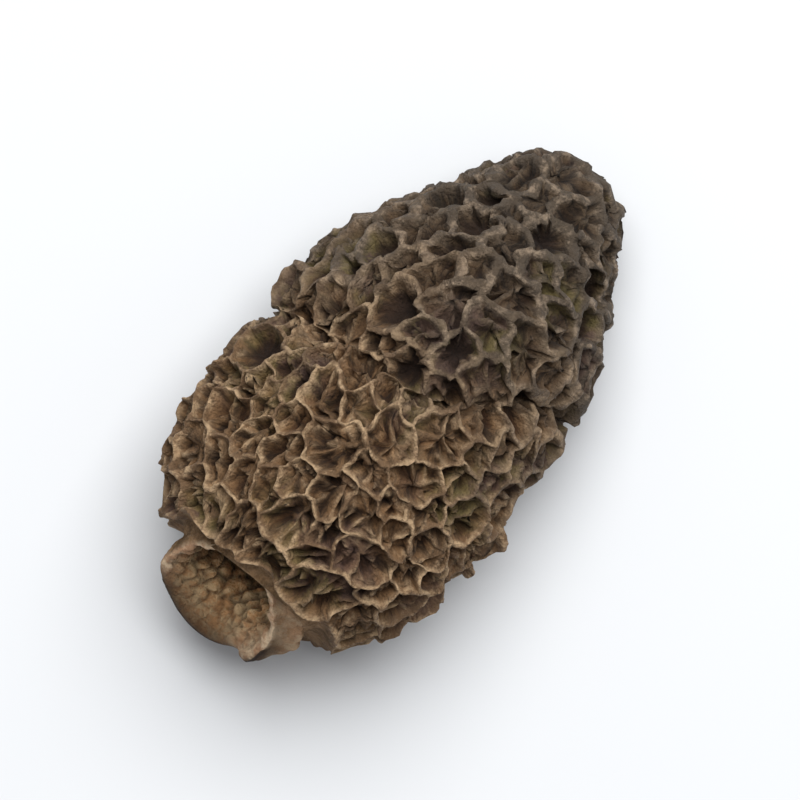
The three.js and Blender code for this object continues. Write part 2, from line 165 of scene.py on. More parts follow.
@dataclass
class Body:
    """The body under its ridges, in the same growth frame and with the same values as the solid.

    In the growth frame x runs along the cap from the mouth, and an angle turns round that axis. A
    length is measured along the outline, and the reach grows by each step over its radius, which
    makes a net on the sphere keep its shapes on the cap.
    """

    outline: tuple[tuple[float, float], ...] = (
        (6.0, 7.4), (8.4, 8.8), (11.0, 11.7), (15.0, 13.9), (20.5, 15.2), (27.5, 15.7), (34.5, 15.3),
        (41.0, 15.5), (47.0, 14.8), (52.5, 12.5), (58.0, 9.7), (63.2, 7.2), (67.0, 4.4), (68.6, 0.0),
    )
    outline_steps: int = 48
    cap_edge: float = 10.4
    squashed: float = 0.9
    lobes: tuple[Lobe, ...] = (
        Lobe(2, 0.03, 0.7, 0.02), Lobe(3, 0.035, -1.1, 0.045), Lobe(5, 0.018, 0.4, -0.06),
    )
    sway: tuple[float, float, float] = (-0.15, 0.5, 92.0)
    crease_x: float = 33.8
    crease_depth: float = 1.9
    crease_width: float = 2.4
    crease_climb: float = 11.0
    crease_from: float = 2.0
    crease_over: float = 14.0
    crease_upper: float = 0.75
    tilt: float = math.radians(6)
    sole_z: float = -12.6
    sole_soft: float = 1.5
    sole_arch: float = 0.9
    sole_middle: float = 33.0
    sole_reach: float = 8.0
    lie: tuple[float, float, float] = (-34.6, 0.24, 14.4)
    pit_length: float = 3.9
    middle_shift: float = 0.1
    least_radius: float = 0.6
    least_ring: float = 0.02

    def __post_init__(self) -> None:
        """Draw the smooth outline and find the middle of its reach."""
        last = self.outline[-2]
        padded = np.array((self.outline[0], *self.outline, (last[0], -last[1])))
        pieces = []
        for a, b, c, d in zip(padded, padded[1:], padded[2:], padded[3:]):
            t = np.arange(0 if not pieces else 1, self.outline_steps + 1)[:, None] / self.outline_steps
            linear, square = c - a, 2 * a - 5 * b + 4 * c - d
            pieces.append(0.5 * (2 * b + linear * t + square * t**2 + (3 * b - a - 3 * c + d) * t**3))
        rows = np.concatenate(pieces)
        steps = np.linalg.norm(np.diff(rows, axis=0), axis=1)
        self.x, self.radius = rows.T
        self.length = np.concatenate(([0.0], np.cumsum(steps)))
        reach = np.cumsum(2 * steps / (self.radius[1:] + self.radius[:-1]))
        self.reach = np.concatenate(([0.0], reach))
        self.cap_length = self.length[-1]
        self.edge_length = self.length_at(self.cap_edge)
        end = self.cap_length - self.pit_length
        self.middle_reach = 0.5 * float(np.interp(end, self.length, self.reach)) + self.middle_shift

    def length_at(self, x: float) -> float:
        """Give the length along the outline at a distance from the mouth."""
        return float(np.interp(x, self.x, self.length))

    def radius_at(self, length: np.ndarray) -> np.ndarray:
        """Give the outline's radius at a length."""
        return np.interp(length, self.length, self.radius)

    def on_sphere(self, length: float, angle: float) -> np.ndarray:
        """Give the point of the unit sphere for a place on the cap.

        Args:
            length: how far the place is from the stem, along the skin.
            angle: its angle round the cap's axis.

        Returns:
            The point.
        """
        reach = float(np.interp(length, self.length, self.reach))
        polar = 2 * math.atan(math.exp(self.middle_reach - reach))
        ring = math.sin(polar)
        return np.array((math.cos(polar), ring * math.cos(angle), ring * math.sin(angle)))

    def on_cap(self, points: np.ndarray) -> tuple[np.ndarray, np.ndarray]:
        """Give the lengths and angles on the cap for points of the unit sphere, one a row.

        Args:
            points: the points.

        Returns:
            How far each is from the stem along the skin, and its angle round the axis.
        """
        ring = np.maximum(np.hypot(points[:, 1], points[:, 2]), 1e-9)
        reach = self.middle_reach + np.log((np.linalg.norm(points, axis=1) + points[:, 0]) / ring)
        return np.interp(reach, self.reach, self.length), np.arctan2(points[:, 2], points[:, 1])

    def along(self, points: np.ndarray) -> np.ndarray:
        """Give how far along the cap points of the sphere are, from 0 by the stem to 1 at the tip."""
        return self.on_cap(points)[0] / self.cap_length

    def scale_at(self, points: np.ndarray) -> np.ndarray:
        """Give the millimetres of skin for one unit of length on the sphere, near each point.

        Args:
            points: the points of the unit sphere, one a row.

        Returns:
            The scale at each point.
        """
        radius = self.radius_at(self.on_cap(points)[0])
        ring = np.hypot(points[:, 1], points[:, 2])
        return np.maximum(radius, self.least_radius) / np.maximum(ring, self.least_ring)

    def lay(self, x: np.ndarray, y: np.ndarray, z: np.ndarray) -> np.ndarray:
        """Tilt points of the growth frame, press them flat below, and move them to their place.

        Args:
            x: how far each is along the axis, towards the tip.
            y: how far it is to the side.
            z: how far it is up.

        Returns:
            The points in the part's frame, one a row.
        """
        laid_x = x * math.cos(self.tilt) + z * math.sin(self.tilt)
        laid_z = z * math.cos(self.tilt) - x * math.sin(self.tilt)
        sole = self.sole_z + self.sole_arch * bell((laid_x - self.sole_middle) / self.sole_reach)
        pressed_z = sole + self.sole_soft * np.logaddexp(0.0, (laid_z - sole) / self.sole_soft)
        return np.stack((laid_x, y, pressed_z), axis=-1) + self.lie

    def skin(self, length: np.ndarray, angle: np.ndarray) -> np.ndarray:
        """Give the points of the cap's skin, before the ridges.

        Args:
            length: how far each is from the stem, along the skin.
            angle: its angle round the cap's axis.

        Returns:
            The points in the part's frame, one a row.
        """
        x = np.interp(length, self.length, self.x)
        radius = self.radius_at(length)
        for lobe in self.lobes:
            radius = radius * (1 + lobe.depth * np.cos(lobe.count * angle + lobe.turn + lobe.twist * x))
        side = (-radius * np.cos(angle) - self.crease_from) / self.crease_over
        crease_x = self.crease_x + self.crease_climb * smoothstep(side)
        upper = smoothstep(self.crease_upper + np.sin(angle))
        radius = radius - self.crease_depth * upper * bell((x - crease_x) / self.crease_width)
        sway_y, sway_z, sway_length = self.sway
        sway = np.sin(2 * math.pi * x / sway_length)
        across = radius * np.cos(angle) + sway_y * sway
        return self.lay(x, across, radius * self.squashed * np.sin(angle) + sway_z * sway)

    def over_skin(
        self, length: np.ndarray, angle: np.ndarray, height: np.ndarray, step: float = 0.05
    ) -> np.ndarray:
        """Give points at a height along the skin's normal.

        Args:
            length: the lengths of the points along the outline.
            angle: their angles round the axis.
            height: their heights, in millimetres.
            step: how far to each side the normal feels for the skin's slope, in millimetres.

        Returns:
            The points in the part's frame.
        """
        before = np.minimum(length, self.cap_length - 2 * step)
        along = self.skin(before + step, angle) - self.skin(before - step, angle)
        turned = step / np.maximum(self.radius_at(before), step)
        across = self.skin(before, angle + turned) - self.skin(before, angle - turned)
        normal = unit(np.cross(across, along))
        return self.skin(length, angle) + normal * np.asarray(height)[..., None]


@dataclass(frozen=True)
class Tooth:
    """A place where a crest stands out from the rest."""

    x: float
    angle: float
    rise: float
    width: float

    def rise_at(self, body: Body, length: np.ndarray, angle: np.ndarray) -> np.ndarray:
        """Give how much the crests stand out at lengths and angles on the cap.

        Args:
            body: the body that the crests are on.
            length: how far each place is from the stem, along the skin.
            angle: its angle round the cap's axis.

        Returns:
            The extra height at each place, in millimetres.
        """
        along = np.interp(length, body.length, body.x) - self.x
        across = body.radius_at(length) * turned_from(angle, self.angle)
        return self.rise * bell(np.hypot(along, across) / self.width)


@dataclass
class RidgeRule:
    """Where the pits of the cap lie and how high and thick their ridges are."""

    pit_along: float = 3.9
    pit_round: float = 3.75
    jitter: float = 0.68
    growth: float = 0.24
    first_row: float = 2.3
    last_gap: float = 0.8
    least_pits: int = 5
    stem_pull: float = 0.42
    height: float = 2.35
    at_tip: float = 0.62
    fade_from: float = 0.6
    at_junction: float = 1.02
    at_bend: float = 0.96
    uneven: float = 0.2
    lean: float = 0.4
    wander: float = 0.16
    bend_from: float = 3.25
    low_share: float = 0.16
    low: float = 0.45
    teeth: tuple[Tooth, ...] = (Tooth(29.6, 3.1, 2.1, 2.2), Tooth(36.4, 0.12, 1.0, 2.2))

    def pits(self, body: Body) -> np.ndarray:
        """Place the middles of the pits on the sphere: the stem's, rows round the cap, the tip's.

        Args:
            body: the body that the pits are on.

        Returns:
            The middles, one a row.
        """
        found = [STEM]
        length = body.edge_length + self.first_row
        row = 0
        while length < body.cap_length - self.last_gap * self.pit_along:
            size = 1 + self.growth * length / body.cap_length
            around = 2 * math.pi * float(body.radius_at(length))
            count = max(self.least_pits, math.floor(around / (self.pit_round * size) + 0.5))
            stray = 0.5 * self.jitter if row == 0 else self.jitter
            for i in range(count):
                along = stray * self.pit_along * (chance(row, i) - 0.5)
                turn = i + stray * (chance(i + 50, row) - 0.5)
                found.append(body.on_sphere(length + along, row * GOLDEN_TURN + 2 * math.pi * turn / count))
            length += self.pit_along * size
            row += 1
        return np.array((*found, TIP))

    def height_at(self, body: Body, point: np.ndarray) -> float:
        """Give the usual height of a ridge at a point of the sphere.

        Args:
            body: the body that the ridge is on.
            point: the point.

        Returns:
            The height over the skin, in millimetres.
        """
        length = body.on_cap(point[None])[0][0]
        to_tip = float(smoothstep((length / body.cap_length - self.fade_from) / (1 - self.fade_from)))
        return self.height * (1 - (1 - self.at_tip) * to_tip)

    def tooth_rise(self, body: Body, point: np.ndarray) -> float:
        """Give how much a crest stands out at a point of the sphere."""
        length, angle = body.on_cap(point[None])
        return sum(float(tooth.rise_at(body, length, angle)[0]) for tooth in self.teeth)


@dataclass(frozen=True)
class Crinkle:
    """How the dried ridges stray from the plain net, in millimetres."""

    sideways: float = 0.42
    sideways_swell: float = 1.5
    fine_sideways: float = 0.16
    fine_swell: float = 0.75
    upright: float = 0.6
    upright_swell: float = 2.0
    fine_upright: float = 0.3
    droop: float = 1.0
    droop_at_tip: float = 1.5
    droop_swell: float = 3.2
    half: float = 0.15
    half_at_tip: float = 0.54
    half_swell: float = 2.2
    half_stray: float = 0.8
    tip_from: float = 0.3  # the share of the cap's length where the tip's own values begin to show
    tip_over: float = 0.5  # and the share over which they take over
    warp: float = 0.9
    warp_swell: float = 5.5
    crumple: float = 0.5
    crumple_swell: float = 1.9
    fine_crumple: float = 0.17
    broad: float = 1.4
    freed: float = 6.0  # how fast a ridge gets free to stray, away from its junctions
    least_height: float = 0.3  # of a crest and, next, of the body's radius, that a lean goes by
    least_radius: float = 1.5
    teeth: tuple[Tooth, ...] = (
        Tooth(15.1, 3.1, 1.4, 1.3), Tooth(20.0, 3.1, 1.6, 1.3), Tooth(25.4, 3.1, 1.6, 1.3),
        Tooth(38.2, 0.1, 1.6, 1.6), Tooth(44.5, 0.05, 0.8, 2.0), Tooth(47.2, 3.1, 1.0, 1.5),
    )

    def to_tip(self, along: np.ndarray) -> np.ndarray:
        """Give how much of the tip's own values shows, at a share of the cap's length."""
        return smoothstep((along - self.tip_from) / self.tip_over)


class Trait(Enum):
    """What a place on the mushroom is like, kept with each vertex for the finish to read."""

    RIDGE = "ridge"  # 1 on a crest, 0 on the floor of a pit
    ALONG = "along"  # 0 by the stem, 1 at the tip
    SKIN = "skin"  # 1 on the smooth skin of the stub
    RIM = "rim"  # 1 on the torn lip
    INSIDE = "inside"  # 1 in the bore and the hollow
    SHADE_AND_DIRT = "shade_and_dirt"  # 1 where shade is painted near black: in the deep holes, under the upper rim, between the lumps of the lining and on the stub's lower side; at the torn tip, painted shadow with some dirt


class Net:
    """The net of ridges as a mesh of cells on the unit sphere, one face for each pit.

    Each vertex of the divided mesh is a point of a ridge's middle line, and has a row in four arrays:
    `at` is its place on the sphere, `height` and `half` are the height and half the width of its
    crest, and `lean` is how far it leans along the cap and round it. Sizes are in millimetres.
    """

    def __init__(self, body: Body, rule: RidgeRule, crinkle: Crinkle, spacing: float) -> None:
        """Place the pits, build a flat cell round each, and run the ridges along the cells' edges.

        Args:
            body: the body that the net lies on.
            rule: where the pits lie and how high the ridges are.
            crinkle: how the ridges stray from the rule.
            spacing: the distance between two points of a ridge, in millimetres.
        """
        self.body = body
        self.rule = rule
        self.crinkle = crinkle
        self.pits = rule.pits(body)
        self.mesh = bmesh.new()
        self.layers = {trait: self.mesh.verts.layers.float.new(trait.value) for trait in Trait}
        self.root_layer = self.mesh.verts.layers.float_vector.new("root")
        self.pit_layer = self.mesh.faces.layers.int.new("pit")
        self._build_cells()
        self._divide_ridges(spacing)
        self.cells = {face[self.pit_layer]: face for face in self.mesh.faces}
        self.meets = {vert: self._pits_round(vert) for vert in self.mesh.verts if len(vert.link_faces) > 2}
        self.row = {vert: i for i, vert in enumerate(self.mesh.verts)}
        self._run_ridges()

    def _build_cells(self) -> None:
        """Turn the hull of the pits inside out: a corner for each triangle, a face for each pit."""
        bm = self.mesh
        seeds = {bm.verts.new(pit): i for i, pit in enumerate(self.pits)}
        bmesh.ops.convex_hull(bm, input=list(seeds))
        hull_edges = list(bm.edges)
        meets = {}
        for middle in bmesh.ops.poke(bm, faces=list(bm.faces))["verts"]:
            meets[middle] = {seeds[edge.other_vert(middle)] for edge in middle.link_edges}
        bmesh.ops.rotate_edges(bm, edges=hull_edges, use_ccw=False)
        bmesh.ops.dissolve_verts(bm, verts=list(seeds))
        for face in bm.faces:
            face[self.pit_layer] = set.intersection(*(meets[vert] for vert in face.verts)).pop()
        for corner, pits in meets.items():
            corner.co = self._junction(tuple(pits))
        bmesh.ops.recalc_face_normals(bm, faces=list(bm.faces))

    def _pits_round(self, corner: bmesh.types.BMVert) -> tuple[int, ...]:
        """Give the numbers of the three pits that meet at a corner of the net."""
        return tuple(sorted(face[self.pit_layer] for face in corner.link_faces))

    def _junction(self, pits: tuple[int, ...]) -> np.ndarray:
        """Give the point of the sphere where the ridges round three pits meet."""
        weights = [self.rule.stem_pull if pit == 0 else 1.0 for pit in pits]
        return unit(np.array(weights) @ self.pits[list(pits)])

    def _divide_ridges(self, spacing: float) -> None:
        """Cut each edge of the net into short steps.

        An edge keeps its number of cuts in a layer, because a cut makes all names of edges stale.

        Args:
            spacing: the usual length of a step, in millimetres.
        """
        cuts_layer = self.mesh.edges.layers.int.new("cuts")
        for edge in self.mesh.edges:
            start, end = (np.array(vert.co) for vert in edge.verts)
            scale = float(self.body.scale_at(unit(start + end)[None])[0])
            edge[cuts_layer] = max(1, round(np.linalg.norm(end - start) * scale / spacing) - 1)
        for cuts in sorted({edge[cuts_layer] for edge in self.mesh.edges}):
            edges = [edge for edge in self.mesh.edges if edge[cuts_layer] == cuts]
            bmesh.ops.bisect_edges(self.mesh, edges=edges, cuts=cuts)
        self.mesh.edges.layers.int.remove(cuts_layer)

    def ring(self, seed: int) -> list[bmesh.types.BMVert]:
        """Give the points round a pit in turn, from one of its junctions.

        Args:
            seed: the pit's number.

        Returns:
            The net's vertices round the pit.
        """
        verts = [loop.vert for loop in self.cells[seed].loops]
        first = next(i for i, vert in enumerate(verts) if vert in self.meets)
        return verts[first:] + verts[:first]

    def sides(self, seed: int) -> list[list[bmesh.types.BMVert]]:
        """Give the ridges round a pit in turn, each from one junction to the next.

        Args:
            seed: the pit's number.

        Returns:
            For each ridge, its vertices, with both junctions.
        """
        ring = self.ring(seed)
        found: list[list[bmesh.types.BMVert]] = []
        for vert in (*ring, ring[0]):
            if found:
                found[-1].append(vert)
            if vert in self.meets:
                found.append([vert])
        return found[:-1]

    def _run_ridges(self) -> None:
        """Lay each ridge from junction to junction in one bend, then crinkle them all."""
        count = len(self.row)
        self.at = np.zeros((count, 3))
        self.height = np.zeros(count)
        aside = np.zeros((count, 3))
        free = np.zeros(count)
        for vert, pits in self.meets.items():
            point = self._junction(pits)
            self.at[self.row[vert]] = point
            self.height[self.row[vert]] = self._junction_height(point, pits)
        for seed in self.cells:
            for chain in self.sides(seed):
                shared = set(self.meets[chain[0]]) & set(self.meets[chain[-1]])
                beyond = (shared - {seed}).pop()
                if seed < beyond:
                    self._run_ridge((seed, beyond), [self.row[vert] for vert in chain], aside, free)
        self._crinkle(aside, free)

    def _junction_height(self, point: np.ndarray, pits: tuple[int, ...]) -> float:
        """Give the height of the crest where the ridges round three pits meet.

        Args:
            point: the junction, on the sphere.
            pits: the numbers of the three pits.

        Returns:
            The height over the skin, in millimetres.
        """
        a, b, c = pits
        vary = chance(a + b + c, a * b + b * c + c * a) - 0.5
        share = self.rule.at_junction + self.rule.uneven * vary
        return share * self.rule.height_at(self.body, point) + self.rule.tooth_rise(self.body, point)

    def _run_ridge(
        self, pair: tuple[int, int], rows: list[int], aside: np.ndarray, free: np.ndarray
    ) -> None:
        """Lay one ridge between two pits.

        Args:
            pair: the numbers of the two pits, the lower one first, which lies to the left.
            rows: the rows of the ridge's points, from junction to junction.
            aside: gets the direction to the left at each point.
            free: gets how free each point is to stray, from 0 at the junctions to 1.
        """
        first, second = pair
        start, end = self.at[rows[0]], self.at[rows[-1]]
        along = end - start
        middle = unit(start + end)
        length = float(np.linalg.norm(along) * self.body.scale_at(middle[None])[0])
        left = np.cross(middle, along)
        bends = length >= self.rule.bend_from
        if bends:
            middle = unit(middle + left * self.rule.wander * (2 * chance(first + 7, second) - 1))
        share = self.rule.at_bend + self.rule.uneven * (chance(second, first) - 0.5)
        if bends and first > 0 and chance(first, second) < self.rule.low_share:
            share = self.rule.low
        crest = share * self.rule.height_at(self.body, middle) + self.rule.tooth_rise(self.body, middle)
        t = np.linspace(0, 1, len(rows))[1:-1]
        weights = np.stack(((2 * t - 1) * (t - 1), 4 * t * (1 - t), t * (2 * t - 1)), axis=1)
        inner = rows[1:-1]
        self.at[inner] = unit(weights @ np.array((start, middle, end)))
        self.height[inner] = weights @ (self.height[rows[0]], crest, self.height[rows[-1]])
        aside[inner] = unit(left)
        free[inner] = np.minimum(1, self.crinkle.freed * t * (1 - t))

    def _crinkle(self, aside: np.ndarray, free: np.ndarray) -> None:
        """Make the ridges wavy, uneven in height and width, and leaning here and there.

        Args:
            aside: the direction to the left at each ridge point.
            free: how free each point is to stray, from 0 at the junctions to 1.
        """
        c = self.crinkle
        places = self.body.skin(*self.body.on_cap(self.at))
        pushes = ripples(places, c.warp_swell, (Seed.WARP_X, Seed.WARP_Y, Seed.WARP_Z))
        self.at = unit(self.at + c.warp * pushes / self.body.scale_at(self.at)[:, None])
        length, angle = self.body.on_cap(self.at)
        places = self.body.skin(length, angle)
        stray = c.sideways * ripple(places, c.sideways_swell, Seed.SIDEWAYS)
        stray += c.fine_sideways * ripple(places, c.fine_swell, Seed.FINE_SIDEWAYS)
        scale = self.body.scale_at(self.at)
        self.at = unit(self.at + aside * (stray * free / scale)[:, None])
        self.height += c.upright * ripple(places, c.upright_swell, Seed.UPRIGHT)
        self.height += c.fine_upright * ripple(places, c.fine_swell, Seed.FINE_UPRIGHT)
        for tooth in c.teeth:
            self.height += tooth.rise_at(self.body, length, angle)
        to_tip = c.to_tip(length / self.body.cap_length)
        half = between(c.half, c.half_at_tip, to_tip)
        self.half = half * (1 + c.half_stray * ripple(places, c.half_swell, Seed.CREST_WIDTH))
        droop = between(c.droop, c.droop_at_tip, to_tip)
        lean_along = droop * ripple(places, c.droop_swell, Seed.DROOP_ALONG) - self.rule.lean
        lean_round = droop * ripple(places, c.droop_swell, Seed.DROOP_ROUND)
        self.lean = np.stack((lean_along, lean_round), axis=1)

    def raise_over(self, rows: np.ndarray, at: np.ndarray, height: np.ndarray) -> np.ndarray:
        """Give points of the mushroom, leaning as their ridge leans.

        Args:
            rows: the rows of the ridge points that the wanted points belong to.
            at: their own places on the sphere.
            height: how high they lie over the skin, in millimetres.

        Returns:
            Their places in the part's frame, none of them below the ground.
        """
        length, angle = self.body.on_cap(at)
        crest = np.maximum(self.height[rows], self.crinkle.least_height)
        shift = self.lean[rows] * np.clip(height / crest, 0, 1)[:, None]
        radius = np.maximum(self.body.radius_at(length), self.crinkle.least_radius)
        length = np.clip(length + shift[:, 0], 0, self.body.cap_length)
        turned = angle + shift[:, 1] / radius
        return self.crumple(self.body.over_skin(length, turned, height, self.crinkle.broad))

    def crumple(self, places: np.ndarray) -> np.ndarray:
        """Shift points to and fro as the drying did, and none of them below the ground.

        Args:
            places: the points, one a row, in millimetres.

        Returns:
            The shifted points.
        """
        c = self.crinkle
        seeds = Seed.CRUMPLE_X, Seed.CRUMPLE_Y, Seed.CRUMPLE_Z
        moved = places.copy()
        for amount, swell in ((c.crumple, c.crumple_swell), (c.fine_crumple, c.fine_swell)):
            moved += amount * ripples(places, swell, seeds)
        moved[:, 2] = np.maximum(moved[:, 2], 0)
        return moved

    def settle(
        self,
        verts: Sequence[bmesh.types.BMVert],
        places: np.ndarray,
        traits: dict[Trait, Values],
        roots: np.ndarray,
    ) -> None:
        """Move vertices to their places and note what the finish reads from them.

        Args:
            verts: the vertices.
            places: where they go, in millimetres.
            traits: the traits to note, with one value each or one for all.
            roots: for each vertex, the place of the crest that its streak of flesh comes down from.
        """
        for vert, place, root in zip(verts, places * MM, roots * MM):
            vert.co = place
            vert[self.root_layer] = root
        for trait, values in traits.items():
            layer = self.layers[trait]
            for vert, value in zip(verts, np.broadcast_to(values, len(verts))):
                vert[layer] = float(value)


@dataclass(frozen=True)
class Terrace:
    """One ring of a pit's side, from the crest down to the foot of the wall."""

    halves: float  # how far from the ridge's middle line, in half widths of the crest
    out: float  # and in millimetres, more
    share: float  # its height, as a share of the crest's
    drop: float  # and in millimetres, less
    pleat: float  # how far the pleats of the wall move it, in millimetres
    ridge: float  # its trait


@dataclass
class Cap:
    """The pitted cap: crinkled crests, walls with pleats, and wrinkled floors split by lower ribs."""

    terraces: tuple[Terrace, ...] = (
        Terrace(0.72, 0.0, 1.0, 0.05, 0.0, 1.0),
        Terrace(1.0, 0.02, 1.0, 0.24, 0.05, 0.85),
        Terrace(1.0, 0.13, 0.62, 0.0, 0.2, 0.5),
        Terrace(1.0, 0.36, 0.26, 0.0, 0.3, 0.2),
    )
    floors: tuple[tuple[float, float], ...] = ((0.22, 0.15), (0.48, 0.05), (0.76, -0.05))
    pleat_swell: float = 0.8
    wrinkle: float = 0.5
    wrinkle_swell: float = 1.2
    most: float = 0.66
    least_step: float = 0.01
    least_square: float = 0.55
    off_middle: float = 0.6
    rib: float = 0.97
    rib_middle: float = 0.86
    rib_stray: float = 0.35
    rib_width: float = 0.3
    ribs_from: int = 1
    ribs_to: int = 3
    fill: float = 0.95
    sunk: float = 0.17
    hole_depth: float = 0.8
    hole_share: float = 0.26
    # how dark the deep holes are painted: painted shade
    hole_painted_shade: float = 0.9
    hole_from: float = 0.33
    fold: float = 1.85
    fold_at_tip: float = 1.1
    fold_swell: float = 2.1
    fold_sharp: float = 3.4
    lengthwise_until: float = 0.3
    lengthwise_ribs: int = 2
    lengthwise_stray: float = 0.2
    faces: list[bmesh.types.BMFace] = field(default_factory=list)

    def build(self, net: Net) -> None:
        """Raise the crests and sink the pits of every cell but the stem's.

        Args:
            net: the net of cells, whose mesh gets the new rings.
        """
        self._gather(net)
        crests = net.raise_over(np.arange(len(net.at)), net.at, net.height)
        net.settle(list(net.row), crests, {Trait.RIDGE: 1.0, Trait.ALONG: net.body.along(net.at)}, crests)
        self.roots = crests[self.rows]
        share = np.zeros(len(self.rows))
        for terrace in self.terraces:
            pleats = terrace.pleat * ripple(self.roots, self.pleat_swell, Seed.PLEATS)
            distance = self.half * terrace.halves + (terrace.out + pleats) * self.squeeze
            inset = np.minimum(distance / (self.reach * self.square), self.most)
            share = np.maximum(share + self.least_step, inset)
            height = terrace.share * self.height - terrace.drop
            low = np.zeros(len(share)) if terrace.drop else self._low_ridges(net, share, self.rib)
            ridge = np.where(low > height, low / self.height, terrace.ridge)
            self._ring(net, share, np.maximum(height, low), ridge, 0.0)
        foot = share
        for inwards, sink in self.floors:
            share = between(foot, 1, inwards)
            strength = between(self.rib, self.rib_middle, inwards)
            places = self._places(net, share)
            wrinkles = self.wrinkle * ripple(places, self.wrinkle_swell, Seed.WRINKLES)
            floor = self.fills[self.pit] + sink + wrinkles
            height = np.maximum(floor, self._low_ridges(net, share, strength))
            # A deep hole is sunk and also painted dark: painted shade in the hole.
            hole = self.holes[self.pit] * math.sqrt(inwards)
            height = height - (np.maximum(height, 0) + self.hole_depth) * hole
            # Deeper floors take more of the darker pit colour: painted shade by depth.
            self._ring(net, share, height, np.clip(height / self.height, 0, 1), self.hole_painted_shade * hole)
        self._close(net)

    def _gather(self, net: Net) -> None:
        """Put the points round every pit in one row of arrays, pit after pit.

        Args:
            net: the net of cells.
        """
        seeds = [seed for seed in sorted(net.cells) if seed != 0]
        self.faces = [net.cells[seed] for seed in seeds]
        rings = [[net.row[loop.vert] for loop in face.loops] for face in self.faces]
        counts = np.array([len(ring) for ring in rings])
        starts = np.concatenate(([0], np.cumsum(counts)))
        self.rows = np.concatenate(rings)
        self.pit = np.repeat(np.arange(len(rings)), counts)
        after = np.arange(1, len(self.rows) + 1)
        after[starts[1:] - 1] = starts[:-1]
        before = np.empty_like(after)
        before[after] = np.arange(len(after))
        self.at, self.height, self.half = net.at[self.rows], net.height[self.rows], net.half[self.rows]
        self.middles = self._middles(seeds, starts)
        self.way = self.middles[self.pit] - self.at
        self.reach = np.linalg.norm(self.way, axis=1) * net.body.scale_at(self.at)
        inward = np.cross(self.at, unit(self.at[after] - self.at[before]))
        self.square = np.clip((unit(self.way) * inward).sum(axis=1), self.least_square, 1.0)
        foot = self.half + self.terraces[-1].out
        self.squeeze = np.minimum(1.0, self.most * self.reach * self.square / foot)
        spread = self.ribs_to + 1 - self.ribs_from
        self.ribs_in = np.array([self.ribs_from + math.floor(chance(seed, 5) * spread) for seed in seeds])
        self.rib_turn = np.array([2 * math.pi * chance(seed + 3, 1) for seed in seeds])
        length = net.body.on_cap(self.middles)[0]
        lengthwise = length < self.lengthwise_until * net.body.cap_length
        self.ribs_in[lengthwise] = self.lengthwise_ribs
        self.rib_turn[lengthwise] = self.lengthwise_stray * (self.rib_turn[lengthwise] - math.pi)
        self.fills = np.array([self.fill * chance(seed + 4, 8) ** 2 - self.sunk for seed in seeds])
        beyond = length > self.hole_from * net.body.cap_length
        self.holes = beyond * np.array([float(chance(seed + 6, 3) < self.hole_share) for seed in seeds])
        self.rib_share = np.array([1 - self.rib_stray * chance(seed + 9, 2) for seed in seeds])

    def _middles(self, seeds: Sequence[int], starts: np.ndarray) -> np.ndarray:
        """Choose a point near the middle of each pit, where its ribs meet.

        Args:
            seeds: the numbers of the pits.
            starts: where each pit's points start in the arrays.

        Returns:
            One point of the sphere for each pit.
        """
        sums = np.add.reduceat(self.at, starts[:-1])
        middles = unit(sums)
        for i, seed in enumerate(seeds):
            ring = self.at[starts[i]:starts[i + 1]]
            towards = ring[math.floor(chance(seed, 31) * len(ring))]
            middles[i] += self.off_middle * chance(seed + 1, 17) * (towards - middles[i])
        return unit(middles)

    def _ribs(self, share: np.ndarray, strength: float) -> np.ndarray:
        """Give the height of the ribs, which run from the middle of a pit up its walls.

        Args:
            share: how far each point lies towards the middle of its pit, from 0 to 1.
            strength: the height of a rib's crest, as a share of the ridge's height.

        Returns:
            The height at each point, 0 away from the ribs.
        """
        ahead = TIP - self.middles * self.middles[:, :1] + (0, 1e-6, 0)
        ahead = unit(ahead)[self.pit]
        aside = np.cross(self.middles[self.pit], ahead)
        bearing = np.arctan2((self.way * aside).sum(axis=1), (self.way * ahead).sum(axis=1))
        ribs, turn = self.ribs_in[self.pit], self.rib_turn[self.pit]
        apart = 2 * math.pi / np.maximum(ribs, 1)
        turned = np.remainder(bearing - turn + apart / 2, apart) - apart / 2
        across = self.reach * (1 - share) * np.abs(np.sin(np.clip(turned, -math.pi / 2, math.pi / 2)))
        return strength * self.rib_share[self.pit] * self.height * bell(across / self.rib_width)

    def _inwards(self, share: np.ndarray) -> np.ndarray:
        """Give the points of the sphere at a share of the way from each crest to its pit's middle."""
        return unit(self.at + self.way * share[:, None])

    def _places(self, net: Net, share: np.ndarray) -> np.ndarray:
        """Give the points of the skin at a share of the way from each crest to its pit's middle."""
        return net.body.skin(*net.body.on_cap(self._inwards(share)))

    def _low_ridges(self, net: Net, share: np.ndarray, strength: float) -> np.ndarray:
        """Give the height of the lower ridges in the pits: the ribs, and the folds that wander freely.

        Args:
            net: the net of cells.
            share: how far each point lies towards the middle of its pit, from 0 to 1.
            strength: the height of a rib's crest, as a share of the ridge's height.

        Returns:
            The height at each point, 0 away from ribs and folds.
        """
        bends = ripple(self._places(net, share), self.fold_swell, Seed.FOLDS)
        folds = 1 - self.fold_sharp * np.abs(bends)
        fold = between(self.fold, self.fold_at_tip, net.crinkle.to_tip(net.body.along(self.at)))
        return np.maximum(self._ribs(share, strength), fold * np.maximum(folds, 0))

